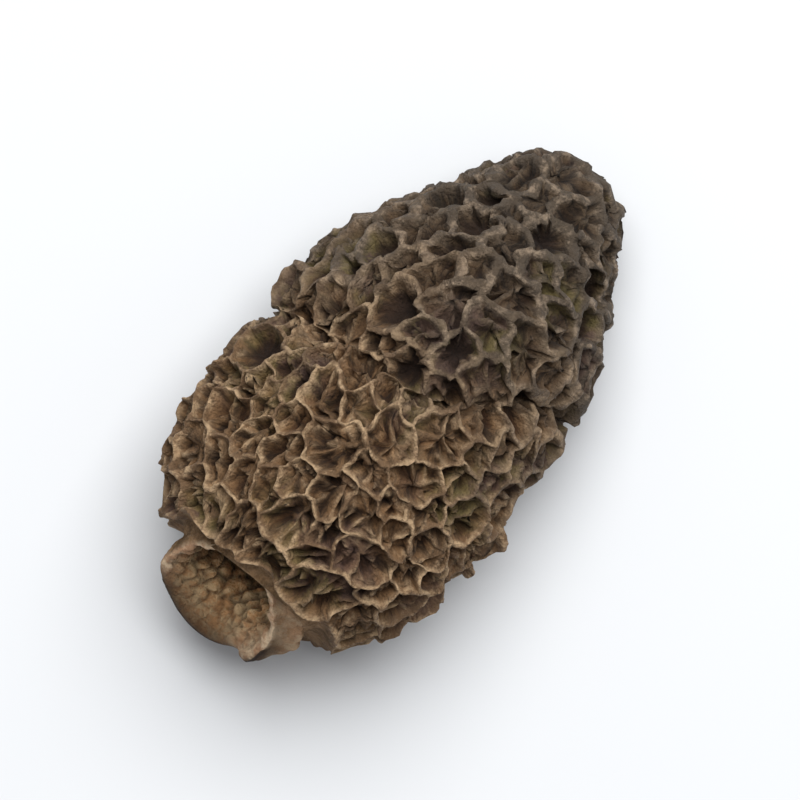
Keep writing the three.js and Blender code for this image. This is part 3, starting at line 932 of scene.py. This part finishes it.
    def _ring(
        self, net: Net, share: np.ndarray, height: np.ndarray, ridge: np.ndarray, shade_and_dirt: Values
    ) -> None:
        """Inset every pit once and settle the new ring.

        Args:
            net: the net of cells.
            share: how far each point lies towards the middle of its pit.
            height: its height over the skin.
            ridge: its ridge trait.
            shade_and_dirt: its trait of painted shade, dark in the deep holes.
        """
        bmesh.ops.inset_individual(net.mesh, faces=self.faces, thickness=INSET)
        verts = [loop.vert for face in self.faces for loop in face.loops]
        at = self._inwards(share)
        traits = {Trait.RIDGE: ridge, Trait.ALONG: net.body.along(at), Trait.SHADE_AND_DIRT: shade_and_dirt}
        net.settle(verts, net.raise_over(self.rows, at, height), traits, self.roots)

    def _close(self, net: Net) -> None:
        """Close each floor with a point in its middle.

        Args:
            net: the net of cells.
        """
        verts = bmesh.ops.poke(net.mesh, faces=self.faces)["verts"]
        length, angle = net.body.on_cap(self.middles)
        first = np.searchsorted(self.pit, np.arange(len(self.middles)))
        height = self.rib_middle * self.rib_share * self.height[first]
        height = height * (1 - self.holes) - self.hole_depth * self.holes
        # The middle of a deep hole is painted dark too: painted shade.
        traits = {
            Trait.RIDGE: self.rib_middle * (1 - self.holes),
            Trait.ALONG: length / net.body.cap_length,
            Trait.SHADE_AND_DIRT: self.hole_painted_shade * self.holes,
        }
        places = net.crumple(net.body.over_skin(length, angle, height, net.crinkle.broad))
        net.settle(verts, places, traits, places)


@dataclass(frozen=True)
class Station:
    """One ring of the stub or the hollow, from which the rings between are drawn."""

    places: np.ndarray
    steps: int
    ridge: Values = 0.0
    skin: Values = 0.0
    rim: Values = 0.0
    inside: Values = 0.0
    # painted shade, with some dirt at the torn tip
    shade_and_dirt: Values = 0.0


@dataclass
class Stub:
    """The cut stub of the stem: its wrinkled skin, torn lip and mealy bore, and the hollow behind."""

    mouth_x: float = 5.0
    mouth_y: float = 1.3
    mouth_z: float = 0.3
    slope: float = 0.5
    radius: float = 7.4
    below_edge: tuple[tuple[float, float], ...] = ((1.3, 0.15), (2.6, 0.0))
    skirt_along: float = 1.6
    skirt_out: float = 0.25
    skirt_wide: float = 1.7
    skirt_blend: float = 0.8
    lip_outer: float = 0.25
    lip_front: float = -0.15
    lip_inner: float = 0.2
    lip_round: float = 0.35
    tear_angle: float = -2.7
    tear_reach: float = 1.7
    tear_width: float = 0.2
    lobes: tuple[Lobe, ...] = (Lobe(2, 0.05, 0.5, 0.0), Lobe(5, 0.035, 1.9, 0.0))
    pressed: float = 0.06
    neck_radius: float = 6.3
    neck_wall: float = 0.9
    neck_fold: float = 0.2
    neck_folds: int = 3
    neck_turn: float = 0.8
    neck_twist: float = 0.35
    bore: tuple[tuple[float, float, float, float], ...] = ((2.6, 0.0, 0.9, 0.7), (5.2, 0.6, 0.5, 0.2))
    flesh: float = 1.5
    hollow_from: float = 13.5
    hollow_to: float = 63.5
    hollow_rings: int = 11
    skin_stretch: float = 0.22
    skin_fold: float = 0.42
    skin_fold_swell: float = 1.3
    skin_crease: float = 0.22
    skin_crease_swell: float = 1.1
    skin_crease_sharp: float = 5.0
    ragged: float = 0.4
    rag_out: float = 0.3
    rag_out_swell: float = 1.0
    rag_along_swell: float = 1.6
    lump: float = 1.1
    low_bulge: float = 0.7
    # Painted shade in the bore: dark under the upper rim, and less on the lower side.
    under_rim_painted_shade: float = 0.75
    low_side_painted_shade: float = 0.2
    lump_swell: float = 1.7
    lump_sharp: float = 2.2
    # how dark the gaps between the lining's lumps are painted: painted shade
    lump_gap_painted_shade: float = 0.8
    grain: float = 0.25
    grain_swell: float = 0.6
    low_from: float = 0.15
    low_over: float = 0.5
    flap_width: float = 0.45
    # where the pinkish-tan side of the skirt starts: its own tone with a painted highlight
    pink_and_highlight_from: float = 0.2
    below_from: float = -0.2
    evened: tuple[float, float, float] = (0.25, 0.5, 0.8)  # how evenly the rings before the lip turn

    def build(self, net: Net, terraces: Sequence[Terrace]) -> None:
        """Close the stem's cell: down the stub, over its lip, and up the hollow to its end.

        Args:
            net: the net of cells, whose mesh gets the new rings.
            terraces: the first rings under the crest, as on the cap's own pits.
        """
        self.net = net
        self.face = net.cells[0]
        self.rows = np.array([net.row[loop.vert] for loop in self.face.loops])
        at = net.at[self.rows]
        self.angles = np.unwrap(net.body.on_cap(at)[1])
        turn = math.copysign(2 * math.pi, self.angles[-1] - self.angles[0])
        self.even = self.angles.mean() + turn * (np.arange(len(at)) / len(at) - 0.5)
        scale = net.body.scale_at(at)[:, None]
        for terrace in terraces:
            distance = net.half[self.rows] * terrace.halves + terrace.out
            way = unit(STEM - at) * distance[:, None] / scale
            height = terrace.share * net.height[self.rows] - terrace.drop
            places = net.raise_over(self.rows, unit(at + way), height)
            self._ring(places, {Trait.RIDGE: terrace.ridge})
        self._line(places)
        end = bmesh.ops.poke(net.mesh, faces=[self.face])["verts"]
        middle = self.last.mean(axis=0)[None]
        net.settle(end, middle, {Trait.INSIDE: 1.0}, middle)

    def _ring(self, places: np.ndarray, traits: dict[Trait, Values]) -> None:
        """Inset the stem's cell once and settle the new ring.

        Args:
            places: where its points go, in millimetres.
            traits: the traits to note, with one value each or one for all.
        """
        bmesh.ops.inset_individual(self.net.mesh, faces=[self.face], thickness=INSET)
        self.net.settle([loop.vert for loop in self.face.loops], places, traits, places)
        self.last = places

    def point(
        self, x: Values, radius: Values, angle: np.ndarray, blend: float, slant: float
    ) -> np.ndarray:
        """Give points round the stub's own axis, at an x that slants with it.

        Args:
            x: how far along the axis they are.
            radius: how far out they are.
            angle: their angles round the axis.
            blend: how much of the stub's own axis and form counts, against the cap's, from 0 to 1.
            slant: how much of the stub's slant they have, from 0 to 1.

        Returns:
            The points in the part's frame, one a row.
        """
        across = radius
        for lobe in self.lobes:
            across = across + radius * lobe.depth * np.cos(lobe.count * angle + lobe.turn)
        return self.net.body.lay(
            x + slant * self.slope * radius * np.sin(angle),
            self.mouth_y * blend + across * np.cos(angle),
            self.mouth_z * blend + across * np.sin(angle) * (1 - self.pressed * blend),
        )

    def lip(self, along: float, radius: float, angle: np.ndarray) -> np.ndarray:
        """Give points of the lip, which reaches further out where it is torn."""
        torn = self.tear_reach * self._near_tear(angle, self.tear_width)
        return self.point(self.mouth_x + along - torn, radius, angle, 1, 1)

    def _near_tear(self, angle: np.ndarray, width: float) -> np.ndarray:
        """Give how near each angle is to the torn point: 1 at it, and almost 0 two widths off."""
        return bell(turned_from(angle, self.tear_angle) / width)

    def _stations(self, start: np.ndarray) -> list[Station]:
        """Give the rings that carry the stub's form, from the crest of the cap's edge inwards.

        Args:
            start: the places of the ring on the crest of the cap's edge.

        Returns:
            The rings in order, with the traits of each.
        """
        body = self.net.body
        blended = [between(self.angles, self.even, share) for share in self.evened]
        even = self.even
        found = [Station(start, 1, ridge=0.85)]
        for (down, rise), angle, steps in zip(self.below_edge, blended, (6, 5)):
            length = np.full(len(angle), body.length_at(body.cap_edge - down))
            places = body.over_skin(length, angle, np.full(len(angle), rise))
            found.append(Station(places, steps, skin=0.9))
        wide = self.radius + self.skirt_out + self.skirt_wide * smoothstep(-np.cos(blended[2]))
        skirt_x = self.mouth_x + self.skirt_along
        flap = self._near_tear(even, self.flap_width)
        # The torn point is painted near black: painted shadow with some dirt.
        tip = self._near_tear(even, self.tear_width)
        # The stub's lower side, towards the floor, gets painted shade and loses the pale rim.
        low = smoothstep((-np.sin(even) - self.low_from) / self.low_over) * (1 - flap)
        # Pinkish tan on one side of the skirt and outer lip: partly their own tone, partly a painted
        # highlight.
        pink_and_highlight = smoothstep(-np.cos(even) - self.pink_and_highlight_from)
        found += [
            Station(
                self.point(skirt_x, wide, blended[2], self.skirt_blend, self.skirt_blend),
                8, skin=1.0, rim=0.6 * pink_and_highlight, shade_and_dirt=0.5 * low,
            ),
            Station(
                self.lip(self.lip_outer, self.radius, even),
                8, skin=1.0, rim=0.35 * pink_and_highlight * (1 - flap), shade_and_dirt=np.clip(low + 0.6 * flap + tip, 0, 1),
            ),
            # The pale rim is the torn lip's own pale flesh, kept to the upper side as a painted highlight;
            # the lower side is painted dark instead.
            Station(
                self.lip(self.lip_front, self.radius - self.lip_round, even),
                3, skin=0.3, rim=1 - low, shade_and_dirt=np.clip(0.8 * low + tip, 0, 1),
            ),
            Station(
                self.lip(self.lip_inner, self.radius - self.neck_wall, even),
                3, rim=0.9 * (1 - low), inside=0.5, shade_and_dirt=0.7 * low + 0.4 * tip,
            ),
        ]
        below = smoothstep(-np.sin(even) - self.below_from)
        for (along, out, blend, slant), steps, share in zip(self.bore, (9, 8), (1.0, 0.4)):
            fold = np.cos(self.neck_folds * even + self.neck_twist * along + self.neck_turn)
            radius = self.neck_radius + self.neck_fold * fold + out - self.low_bulge * share * below
            places = self.point(self.mouth_x + along, radius, even, blend, slant)
            # Painted shade in the bore: the upper rim's shadow over the lining, and some on the lower side.
            shade_and_dirt = share * (self.under_rim_painted_shade * (1 - below) + self.low_side_painted_shade * low)
            found.append(Station(places, steps, inside=1.0, shade_and_dirt=shade_and_dirt))
        ends = body.length_at(self.hollow_from), body.length_at(self.hollow_to)
        for i, length in enumerate(np.linspace(*ends, self.hollow_rings)):
            places = body.over_skin(np.full(len(even), length), even, np.full(len(even), -self.flesh))
            found.append(Station(places, 4 if i == 0 else 1, inside=1.0))
        return found

    def _line(self, start: np.ndarray) -> None:
        """Draw the rings between the stations, with the folds, rags and lumps of each stretch.

        Args:
            start: the places of the ring on the crest of the cap's edge.
        """
        stations = self._stations(start)
        for i in range(1, len(stations)):
            near = [stations[min(max(k, 0), len(stations) - 1)] for k in (i - 2, i - 1, i, i + 1)]
            for step in range(1, near[2].steps + 1):
                t = step / near[2].steps
                weights = 0.5 * np.array(
                    (-t + 2 * t**2 - t**3, 2 - 5 * t**2 + 3 * t**3, t + 4 * t**2 - 3 * t**3, t**3 - t**2)
                )
                places = sum(weight * station.places for weight, station in zip(weights, near))
                traits = {
                    trait: (1 - t) * getattr(near[1], trait.value) + t * getattr(near[2], trait.value)
                    for trait in (Trait.RIDGE, Trait.SKIN, Trait.RIM, Trait.INSIDE, Trait.SHADE_AND_DIRT)
                }
                lumps = self._lumps(places)
                # The gaps between the lining's lumps get painted shade.
                gap = self.lump_gap_painted_shade * traits[Trait.INSIDE] * (1 - lumps) ** 2
                roughened = self._roughen(places, traits, lumps)
                self._ring(roughened, {**traits, Trait.SHADE_AND_DIRT: np.maximum(traits[Trait.SHADE_AND_DIRT], gap)})

    def _lumps(self, places: np.ndarray) -> np.ndarray:
        """Give how far each place of the lining is on a lump, from 0 between them to 1."""
        away = [noise.voronoi(Vector(place))[0] for place in places / self.lump_swell]
        return smoothstep(self.lump_sharp * np.array([beyond - near for near, beyond, *_ in away]))

    def _roughen(
        self, places: np.ndarray, traits: dict[Trait, Values], lumps: np.ndarray
    ) -> np.ndarray:
        """Add the folds of the skin, the rags of the lip and the lumps of the lining to a ring.

        Args:
            places: the ring's smooth places, one a row.
            traits: its traits, which say how much of each it gets.
            lumps: how far each place is on a lump, from 0 to 1.

        Returns:
            The roughened places, none of them below the ground.
        """
        out = places - places.mean(axis=0)
        out[:, 0] = 0
        out = unit(out)
        stretched = places * (self.skin_stretch, 1.0, 1.0)
        folds = ripple(stretched, self.skin_fold_swell, Seed.SKIN_FOLDS)
        creases = ripple(stretched, self.skin_crease_swell, Seed.SKIN_CREASES)
        moved = traits[Trait.SKIN] * self.skin_fold * folds
        sharp = np.maximum(0, 1 - self.skin_crease_sharp * np.abs(creases))
        moved -= traits[Trait.SKIN] * self.skin_crease * sharp
        rags = ripple(places, self.rag_out_swell, Seed.RAGS_OUT)
        moved += traits[Trait.RIM] * self.rag_out * self.ragged * rags
        grains = np.maximum(0, ripple(places, self.grain_swell, Seed.GRAINS))
        moved -= traits[Trait.INSIDE] * (self.lump * lumps + self.grain * grains)
        roughened = places + out * moved[:, None]
        rags = ripple(places, self.rag_along_swell, Seed.RAGS_ALONG)
        roughened[:, 0] += traits[Trait.RIM] * self.ragged * rags
        roughened[:, 2] = np.maximum(roughened[:, 2], 0)
        return roughened


def put(name: str, data: bpy.types.ID) -> bpy.types.Object:
    """Put an object with its data in the scene.

    Args:
        name: the object's name.
        data: what it shows: a mesh, a lamp or a lens.

    Returns:
        The new object.
    """
    made = bpy.data.objects.new(name, data)
    bpy.context.scene.collection.objects.link(made)
    return made


def put_mesh(name: str, built: bmesh.types.BMesh) -> bpy.types.Object:
    """Put an object in the scene, with the mesh that was built for it.

    Args:
        name: the name of the object and of its mesh.
        built: the mesh being built, which is freed.

    Returns:
        The new object.
    """
    mesh = bpy.data.meshes.new(name)
    built.to_mesh(mesh)
    built.free()
    return put(name, mesh)


@dataclass
class Morel:
    """The whole mushroom, one grown piece."""

    body: Body = field(default_factory=Body)
    rule: RidgeRule = field(default_factory=RidgeRule)
    crinkle: Crinkle = field(default_factory=Crinkle)
    cap: Cap = field(default_factory=Cap)
    stub: Stub = field(default_factory=Stub)
    spacing: float = 0.4

    def build(self) -> bpy.types.Object:
        """Build the mushroom's mesh and put it in the scene.

        Returns:
            The mushroom's object, which rides on the part's one body and stands for its solid.
        """
        net = Net(self.body, self.rule, self.crinkle, self.spacing)
        self.cap.build(net)
        self.stub.build(net, self.cap.terraces[:2])
        for face in net.mesh.faces:
            face.smooth = True
        net.mesh.faces.layers.int.remove(net.pit_layer)
        net.mesh.normal_update()
        piece = put_mesh("dried_morel", net.mesh)
        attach(piece, "root")
        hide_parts("morel")
        counts = len(net.pits), len(piece.data.vertices), len(piece.data.polygons)
        log.info("dried_morel: %d pits, %d vertices, %d faces", *counts)
        return piece


def colour(red: int, green: int, blue: int) -> tuple[float, float, float, float]:
    """Give a display colour, from 0 to 255 a channel, as the linear colour that shaders take.

    Args:
        red: how much red it has.
        green: how much green it has.
        blue: how much blue it has.

    Returns:
        The linear red, green, blue and alpha.
    """
    shares = (value / 255 for value in (red, green, blue))
    linear = [share / 12.92 if share <= 0.04045 else ((share + 0.055) / 1.055) ** 2.4 for share in shares]
    return (*linear, 1.0)


class Sheet:
    """A node tree that is being filled in."""

    def __init__(self, tree: bpy.types.NodeTree) -> None:
        """Start on a tree."""
        self.tree = tree

    def add(
        self, kind: str, inputs: dict[str | int, object] | None = None, **settings: object
    ) -> bpy.types.Node:
        """Add a node, set it up, and link or fill in its inputs.

        Args:
            kind: the node's type.
            inputs: for each input socket, by name or number, a value or an output socket.
            settings: properties of the node.

        Returns:
            The new node.
        """
        node = self.tree.nodes.new(kind)
        for name, value in settings.items():
            setattr(node, name, value)
        for key, value in (inputs or {}).items():
            if isinstance(value, bpy.types.NodeSocket):
                self.tree.links.new(value, node.inputs[key])
            else:
                node.inputs[key].default_value = value
        return node

    def mix(
        self, share: bpy.types.NodeSocket | float, first: object, second: object, blend: str = "MIX"
    ) -> bpy.types.NodeSocket:
        """Blend two colours, and give the socket of the result."""
        node = self.add("ShaderNodeMix", {0: share, 6: first, 7: second}, data_type="RGBA", blend_type=blend)
        return node.outputs[2]

    def math(self, operation: str, *values: object) -> bpy.types.NodeSocket:
        """Work out one number from others, and give its socket."""
        return self.add("ShaderNodeMath", dict(enumerate(values)), operation=operation).outputs[0]

    def ramp(
        self, value: object, low: object, high: object, to: tuple[float, float] = (0.0, 1.0)
    ) -> bpy.types.NodeSocket:
        """Ease a number from one range to another, and give its socket."""
        inputs = {0: value, 1: low, 2: high, 3: to[0], 4: to[1]}
        return self.add("ShaderNodeMapRange", inputs, interpolation_type="SMOOTHSTEP").outputs[0]

    def surface(self, inputs: dict[str | int, object]) -> None:
        """Add a material's shader with its inputs, and lead it to the surface."""
        shader = self.add("ShaderNodeBsdfPrincipled", inputs)
        self.add("ShaderNodeOutputMaterial", {"Surface": shader.outputs["BSDF"]})


def new_material(name: str) -> tuple[bpy.types.Material, Sheet]:
    """Start a material on an empty node tree, and give its sheet too.

    Args:
        name: the material's name.

    Returns:
        The material, and the sheet that its nodes are added on.
    """
    made = bpy.data.materials.new(name)
    made.use_nodes = True
    made.node_tree.nodes.clear()
    return made, Sheet(made.node_tree)


def new_group(
    name: str, inputs: dict[str, tuple[str, object]], outputs: dict[str, str]
) -> tuple[Sheet, bpy.types.Node, bpy.types.Node]:
    """Start a shader node group.

    Args:
        name: the group's name.
        inputs: for each input, its socket type and its default value, or None.
        outputs: for each output, its socket type.

    Returns:
        The group's sheet, and its input and output nodes.
    """
    tree = bpy.data.node_groups.new(name, "ShaderNodeTree")
    for label, (kind, default) in inputs.items():
        socket = tree.interface.new_socket(label, in_out="INPUT", socket_type=kind)
        if default is not None:
            socket.default_value = default
    for label, kind in outputs.items():
        tree.interface.new_socket(label, in_out="OUTPUT", socket_type=kind)
    sheet = Sheet(tree)
    return sheet, sheet.add("NodeGroupInput"), sheet.add("NodeGroupOutput")


def mottle_group() -> bpy.types.NodeTree:
    """Build the group that lets a second colour show in soft blotches through a first one.

    Returns:
        The group's node tree.
    """
    sheet, given, result = new_group(
        "mottle",
        {
            "Place": ("NodeSocketVector", None),
            "Light": ("NodeSocketColor", (0.5, 0.5, 0.5, 1)),
            "Dark": ("NodeSocketColor", (0.1, 0.1, 0.1, 1)),
            "Scale": ("NodeSocketFloat", 300.0),
            "Balance": ("NodeSocketFloat", 0.5),
            "Softness": ("NodeSocketFloat", 0.15),
        },
        {"Color": "NodeSocketColor", "Mask": "NodeSocketFloat"},
    )
    noise_node = sheet.add(
        "ShaderNodeTexNoise",
        {"Vector": given.outputs["Place"], "Scale": given.outputs["Scale"], "Detail": 6.0, "Roughness": 0.68},
    )
    low = sheet.math("SUBTRACT", given.outputs["Balance"], given.outputs["Softness"])
    high = sheet.math("ADD", given.outputs["Balance"], given.outputs["Softness"])
    mask = sheet.ramp(noise_node.outputs["Fac"], low, high)
    blended = sheet.mix(mask, given.outputs["Light"], given.outputs["Dark"])
    sheet.tree.links.new(blended, result.inputs["Color"])
    sheet.tree.links.new(mask, result.inputs["Mask"])
    return sheet.tree


def grain_group() -> bpy.types.NodeTree:
    """Build the group that gives the height of a dry, wrinkled, slightly grainy surface.

    Returns:
        The group's node tree.
    """
    sheet, given, result = new_group(
        "dry_grain",
        {
            "Place": ("NodeSocketVector", None),
            "Wrinkle Scale": ("NodeSocketFloat", 700.0),
            "Grain Scale": ("NodeSocketFloat", 2600.0),
            "Grain Share": ("NodeSocketFloat", 0.3),
        },
        {"Height": "NodeSocketFloat"},
    )
    wrinkles = sheet.add(
        "ShaderNodeTexNoise",
        {
            "Vector": given.outputs["Place"],
            "Scale": given.outputs["Wrinkle Scale"],
            "Detail": 6.0,
            "Roughness": 0.66,
            "Distortion": 0.6,
        },
    )
    folded = sheet.math("ABSOLUTE", sheet.math("SUBTRACT", wrinkles.outputs["Fac"], 0.5))
    grains = sheet.add(
        "ShaderNodeTexVoronoi", {"Vector": given.outputs["Place"], "Scale": given.outputs["Grain Scale"]}
    )
    grain = sheet.math("MULTIPLY", grains.outputs["Distance"], given.outputs["Grain Share"])
    sheet.tree.links.new(sheet.math("SUBTRACT", folded, grain), result.inputs["Height"])
    return sheet.tree


@dataclass(frozen=True)
class Blotches:
    """Two colours of one surface, and how they are mixed."""

    light: tuple[float, float, float, float]
    dark: tuple[float, float, float, float]
    scale: float
    balance: float = 0.5
    softness: float = 0.12


@dataclass(frozen=True)
class DriedFlesh:
    """The finish of the whole mushroom, which changes with the traits of each place."""

    # Crests are coloured lighter than the pits: a painted highlight where the ridges catch the light, and
    # painted shade down in the pits; the blotches in each are the flesh's own tone.
    crest: Blotches = Blotches(colour(192, 162, 126), colour(118, 92, 66), 440.0, 0.48, 0.09)
    crest_at_tip: Blotches = Blotches(colour(150, 131, 110), colour(82, 70, 57), 480.0, 0.43, 0.1)
    pit: Blotches = Blotches(colour(130, 98, 66), colour(70, 51, 32), 560.0, 0.5, 0.12)
    pit_at_tip: Blotches = Blotches(colour(96, 78, 59), colour(42, 33, 25), 480.0, 0.5, 0.13)
    moss: Blotches = Blotches(colour(116, 104, 60), colour(92, 70, 66), 110.0, 0.5, 0.05)
    skin: Blotches = Blotches(colour(176, 140, 102), colour(112, 87, 57), 420.0, 0.48, 0.14)
    # The lining's golden tan, made lighter than its own to make up for the shade inside the hollow: partly
    # its own colour, partly painted light.
    inside: Blotches = Blotches(colour(255, 218, 166), colour(234, 178, 122), 620.0, 0.5, 0.1)
    # The torn lip's pale flesh; dropped on the stub's lower side, so the upper side also carries a painted
    # highlight.
    rim: Blotches = Blotches(colour(240, 212, 176), colour(196, 152, 116), 600.0)
    # Painted shade: the near-black brown for the holes, the gap under the rim and the lining's gaps, with
    # some dirt at the torn tip.
    shade_and_dirt: tuple[float, float, float, float] = colour(44, 30, 22)
    # Painted shade: a brown multiplied into the pits, strongest at their floors.
    pit_painted_shade: tuple[float, float, float, float] = colour(146, 128, 108)
    streak: float = 0.62
    broad_scale: float = 90.0
    fine_scale: float = 900.0
    pleat_scale: float = 1100.0
    moss_range: tuple[float, float] = (0.46, 0.66)
    moss_most: float = 0.6
    tip_range: tuple[float, float] = (0.3, 0.7)
    tip_stray: float = 0.6
    crest_stray: float = 0.7
    crest_range: tuple[float, float] = (0.35, 1.05)
    pit_painted_shade_range: tuple[float, float] = (0.5, 0.0)
    bump_strength: float = 0.9
    bump_distance: float = 1 * MM
    worn_range: tuple[float, float] = (0.2, 1.0)
    roughness: tuple[float, float] = (0.92, 0.7)
    specular: float = 0.35

    def material(self) -> bpy.types.Material:
        """Build the material, whose colours and bumps change with each place's traits.

        Returns:
            The new material.
        """
        made, sheet = new_material("dried_flesh")
        place = sheet.add("ShaderNodeTexCoord").outputs["Object"]
        traits = {
            trait: sheet.add("ShaderNodeAttribute", attribute_name=trait.value).outputs["Fac"]
            for trait in Trait
        }
        mottle, grain = mottle_group(), grain_group()
        crest_place = sheet.add("ShaderNodeAttribute", attribute_name="root").outputs["Vector"]
        root = sheet.add(
            "ShaderNodeMix", {0: self.streak, 4: place, 5: crest_place}, data_type="VECTOR"
        ).outputs[1]
        tint = self._colour(sheet, place, root, traits, mottle)
        skin_deep = sheet.add("ShaderNodeGroup", {"Place": place}, node_tree=grain).outputs["Height"]
        streaks = {"Place": root, "Wrinkle Scale": self.pleat_scale, "Grain Share": 0.0}
        pleats = sheet.add("ShaderNodeGroup", streaks, node_tree=grain).outputs["Height"]
        relief = {
            "Strength": self.bump_strength,
            "Distance": self.bump_distance,
            "Height": sheet.math("ADD", skin_deep, pleats),
        }
        bump = sheet.add("ShaderNodeBump", relief)
        sheet.surface(
            {
                "Base Color": tint,
                "Roughness": sheet.ramp(traits[Trait.RIDGE], *self.worn_range, self.roughness),
                "Specular IOR Level": self.specular,
                "Normal": bump.outputs["Normal"],
            }
        )
        return made

    def _blotched(
        self, sheet: Sheet, place: bpy.types.NodeSocket, mottle: bpy.types.NodeTree, blotches: Blotches
    ) -> bpy.types.NodeSocket:
        """Place the mottle group with one surface's colours, and give its colour socket.

        Args:
            sheet: the material's sheet.
            place: the socket of the place that the blotches go by.
            mottle: the mottle group.
            blotches: the surface's colours.

        Returns:
            The socket of the mottled colour.
        """
        values = {
            "Place": place,
            "Light": blotches.light,
            "Dark": blotches.dark,
            "Scale": blotches.scale,
            "Balance": blotches.balance,
            "Softness": blotches.softness,
        }
        return sheet.add("ShaderNodeGroup", values, node_tree=mottle).outputs["Color"]

    def _colour(
        self,
        sheet: Sheet,
        place: bpy.types.NodeSocket,
        root: bpy.types.NodeSocket,
        traits: dict[Trait, bpy.types.NodeSocket],
        mottle: bpy.types.NodeTree,
    ) -> bpy.types.NodeSocket:
        """Lay the surfaces' colours over each other by the traits, and give the socket of the result.

        Args:
            sheet: the material's sheet.
            place: the socket of the place on the mushroom.
            root: the socket of the place of the crest above.
            traits: the socket of each trait.
            mottle: the mottle group.

        Returns:
            The socket of the colour.
        """
        crest, crest_at_tip, moss, skin, inside, rim = (
            self._blotched(sheet, place, mottle, blotches)
            for blotches in (self.crest, self.crest_at_tip, self.moss, self.skin, self.inside, self.rim)
        )
        pit, pit_at_tip = (
            self._blotched(sheet, root, mottle, blotches) for blotches in (self.pit, self.pit_at_tip)
        )
        broad, fine = (
            sheet.add("ShaderNodeTexNoise", {"Vector": at, "Scale": scale, "Detail": 3.0}).outputs["Fac"]
            for at, scale in ((place, self.broad_scale), (root, self.fine_scale))
        )
        stray = sheet.math("MULTIPLY_ADD", broad, self.tip_stray, -self.tip_stray / 2)
        to_tip = sheet.ramp(sheet.math("ADD", traits[Trait.ALONG], stray), *self.tip_range)
        mossy = sheet.ramp(broad, *self.moss_range, (0.0, self.moss_most))
        pits = sheet.mix(mossy, sheet.mix(to_tip, pit, pit_at_tip), moss)
        crests = sheet.mix(to_tip, crest, crest_at_tip)
        stray = sheet.math("MULTIPLY_ADD", fine, self.crest_stray, -self.crest_stray / 2)
        # The ridge height, a little jittered, sets how much painted highlight (the crest colour) and painted
        # shade (the pit colour) each place gets.
        height_for_painted_light = sheet.math("ADD", traits[Trait.RIDGE], stray)
        # Painted shade: the pits darken towards their floors by a multiplied brown.
        deep = sheet.mix(sheet.ramp(height_for_painted_light, *self.pit_painted_shade_range), pits, self.pit_painted_shade, "MULTIPLY")
        # Painted highlight: the lighter crest colour over the pit colour, by height.
        cap = sheet.mix(sheet.ramp(height_for_painted_light, *self.crest_range), deep, crests)
        stub = sheet.mix(traits[Trait.SKIN], cap, skin)
        lined = sheet.mix(traits[Trait.INSIDE], stub, inside)
        edged = sheet.mix(traits[Trait.RIM], lined, rim)
        # Last, the painted shade goes over every colour, with some dirt at the torn tip.
        return sheet.mix(traits[Trait.SHADE_AND_DIRT], edged, self.shade_and_dirt)


@dataclass
class Studio:
    """The pale floor, the soft lights and the camera."""

    floor_side: float = 3.0
    floor_colour: tuple[float, float, float, float] = colour(216, 218, 220)
    floor_roughness: float = 0.9
    sky: float = 0.36
    sky_colour: tuple[float, float, float, float] = colour(250, 251, 255)
    key_side: float = 0.9
    key_power: float = 13.2
    key_up: float = 0.36
    key_right: float = 0.14
    key_height: float = 0.84
    camera_turn: float = math.radians(-50.6)
    camera_tilt: float = math.radians(6)
    distance: float = 0.9
    view_width: float = 0.089
    sensor: float = 36.0
    clip: tuple[float, float] = (0.05, 20.0)

    def build(self) -> None:
        """Build the floor, the lights and the camera."""
        self._floor()
        self._lights()
        self._camera()

    def _floor(self) -> None:
        """Build the floor, which the mushroom lies on."""
        bm = bmesh.new()
        bmesh.ops.create_grid(bm, x_segments=8, y_segments=8, size=self.floor_side / 2)
        floor = put_mesh("floor", bm)
        made, sheet = new_material("floor")
        sheet.surface({"Base Color": self.floor_colour, "Roughness": self.floor_roughness})
        floor.data.materials.append(made)

    def _lights(self) -> None:
        """Light the scene from a pale sky and one large soft lamp over the upper edge of the view."""
        bpy.context.scene.view_settings.view_transform = "Standard"
        world = bpy.data.worlds.new("sky")
        world.use_nodes = True
        background = world.node_tree.nodes["Background"]
        background.inputs["Color"].default_value = self.sky_colour
        background.inputs["Strength"].default_value = self.sky
        bpy.context.scene.world = world
        lamp = bpy.data.lights.new("key", "AREA")
        lamp.shape = "SQUARE"
        lamp.size = self.key_side
        lamp.energy = self.key_power
        key = put("key", lamp)
        right, up = self._axes()
        key.location = up * self.key_up + right * self.key_right + Vector((0, 0, self.key_height))
        key.rotation_euler = (-key.location).to_track_quat("-Z", "Y").to_euler()

    def _axes(self) -> tuple[Vector, Vector]:
        """Give the directions on the floor that point right and up in the view."""
        right = Vector((math.cos(self.camera_turn), math.sin(self.camera_turn), 0))
        return right, Vector((-right.y, right.x, 0))

    def _camera(self) -> None:
        """Look down on the mushroom, nearly straight, with a long lens."""
        right, up = self._axes()
        back = up * -math.sin(self.camera_tilt) + Vector((0, 0, math.cos(self.camera_tilt)))
        low, high = cad_box
        middle = (low + high) / 2
        lens = bpy.data.cameras.new("camera")
        lens.sensor_width = self.sensor
        lens.lens = self.sensor * self.distance / self.view_width
        lens.clip_start, lens.clip_end = self.clip
        camera = put("camera", lens)
        turn = Matrix((right, back.cross(right), back)).transposed()
        camera.matrix_world = Matrix.Translation(middle + back * self.distance) @ turn.to_4x4()
        bpy.context.scene.camera = camera


def main() -> None:
    """Build the mushroom, its finish, and the studio round it."""
    piece = Morel().build()
    piece.data.materials.append(DriedFlesh().material())
    log.info("%s dressed", piece.name)
    Studio().build()
    log.info("studio built")


if __name__ == "__main__":
    main()
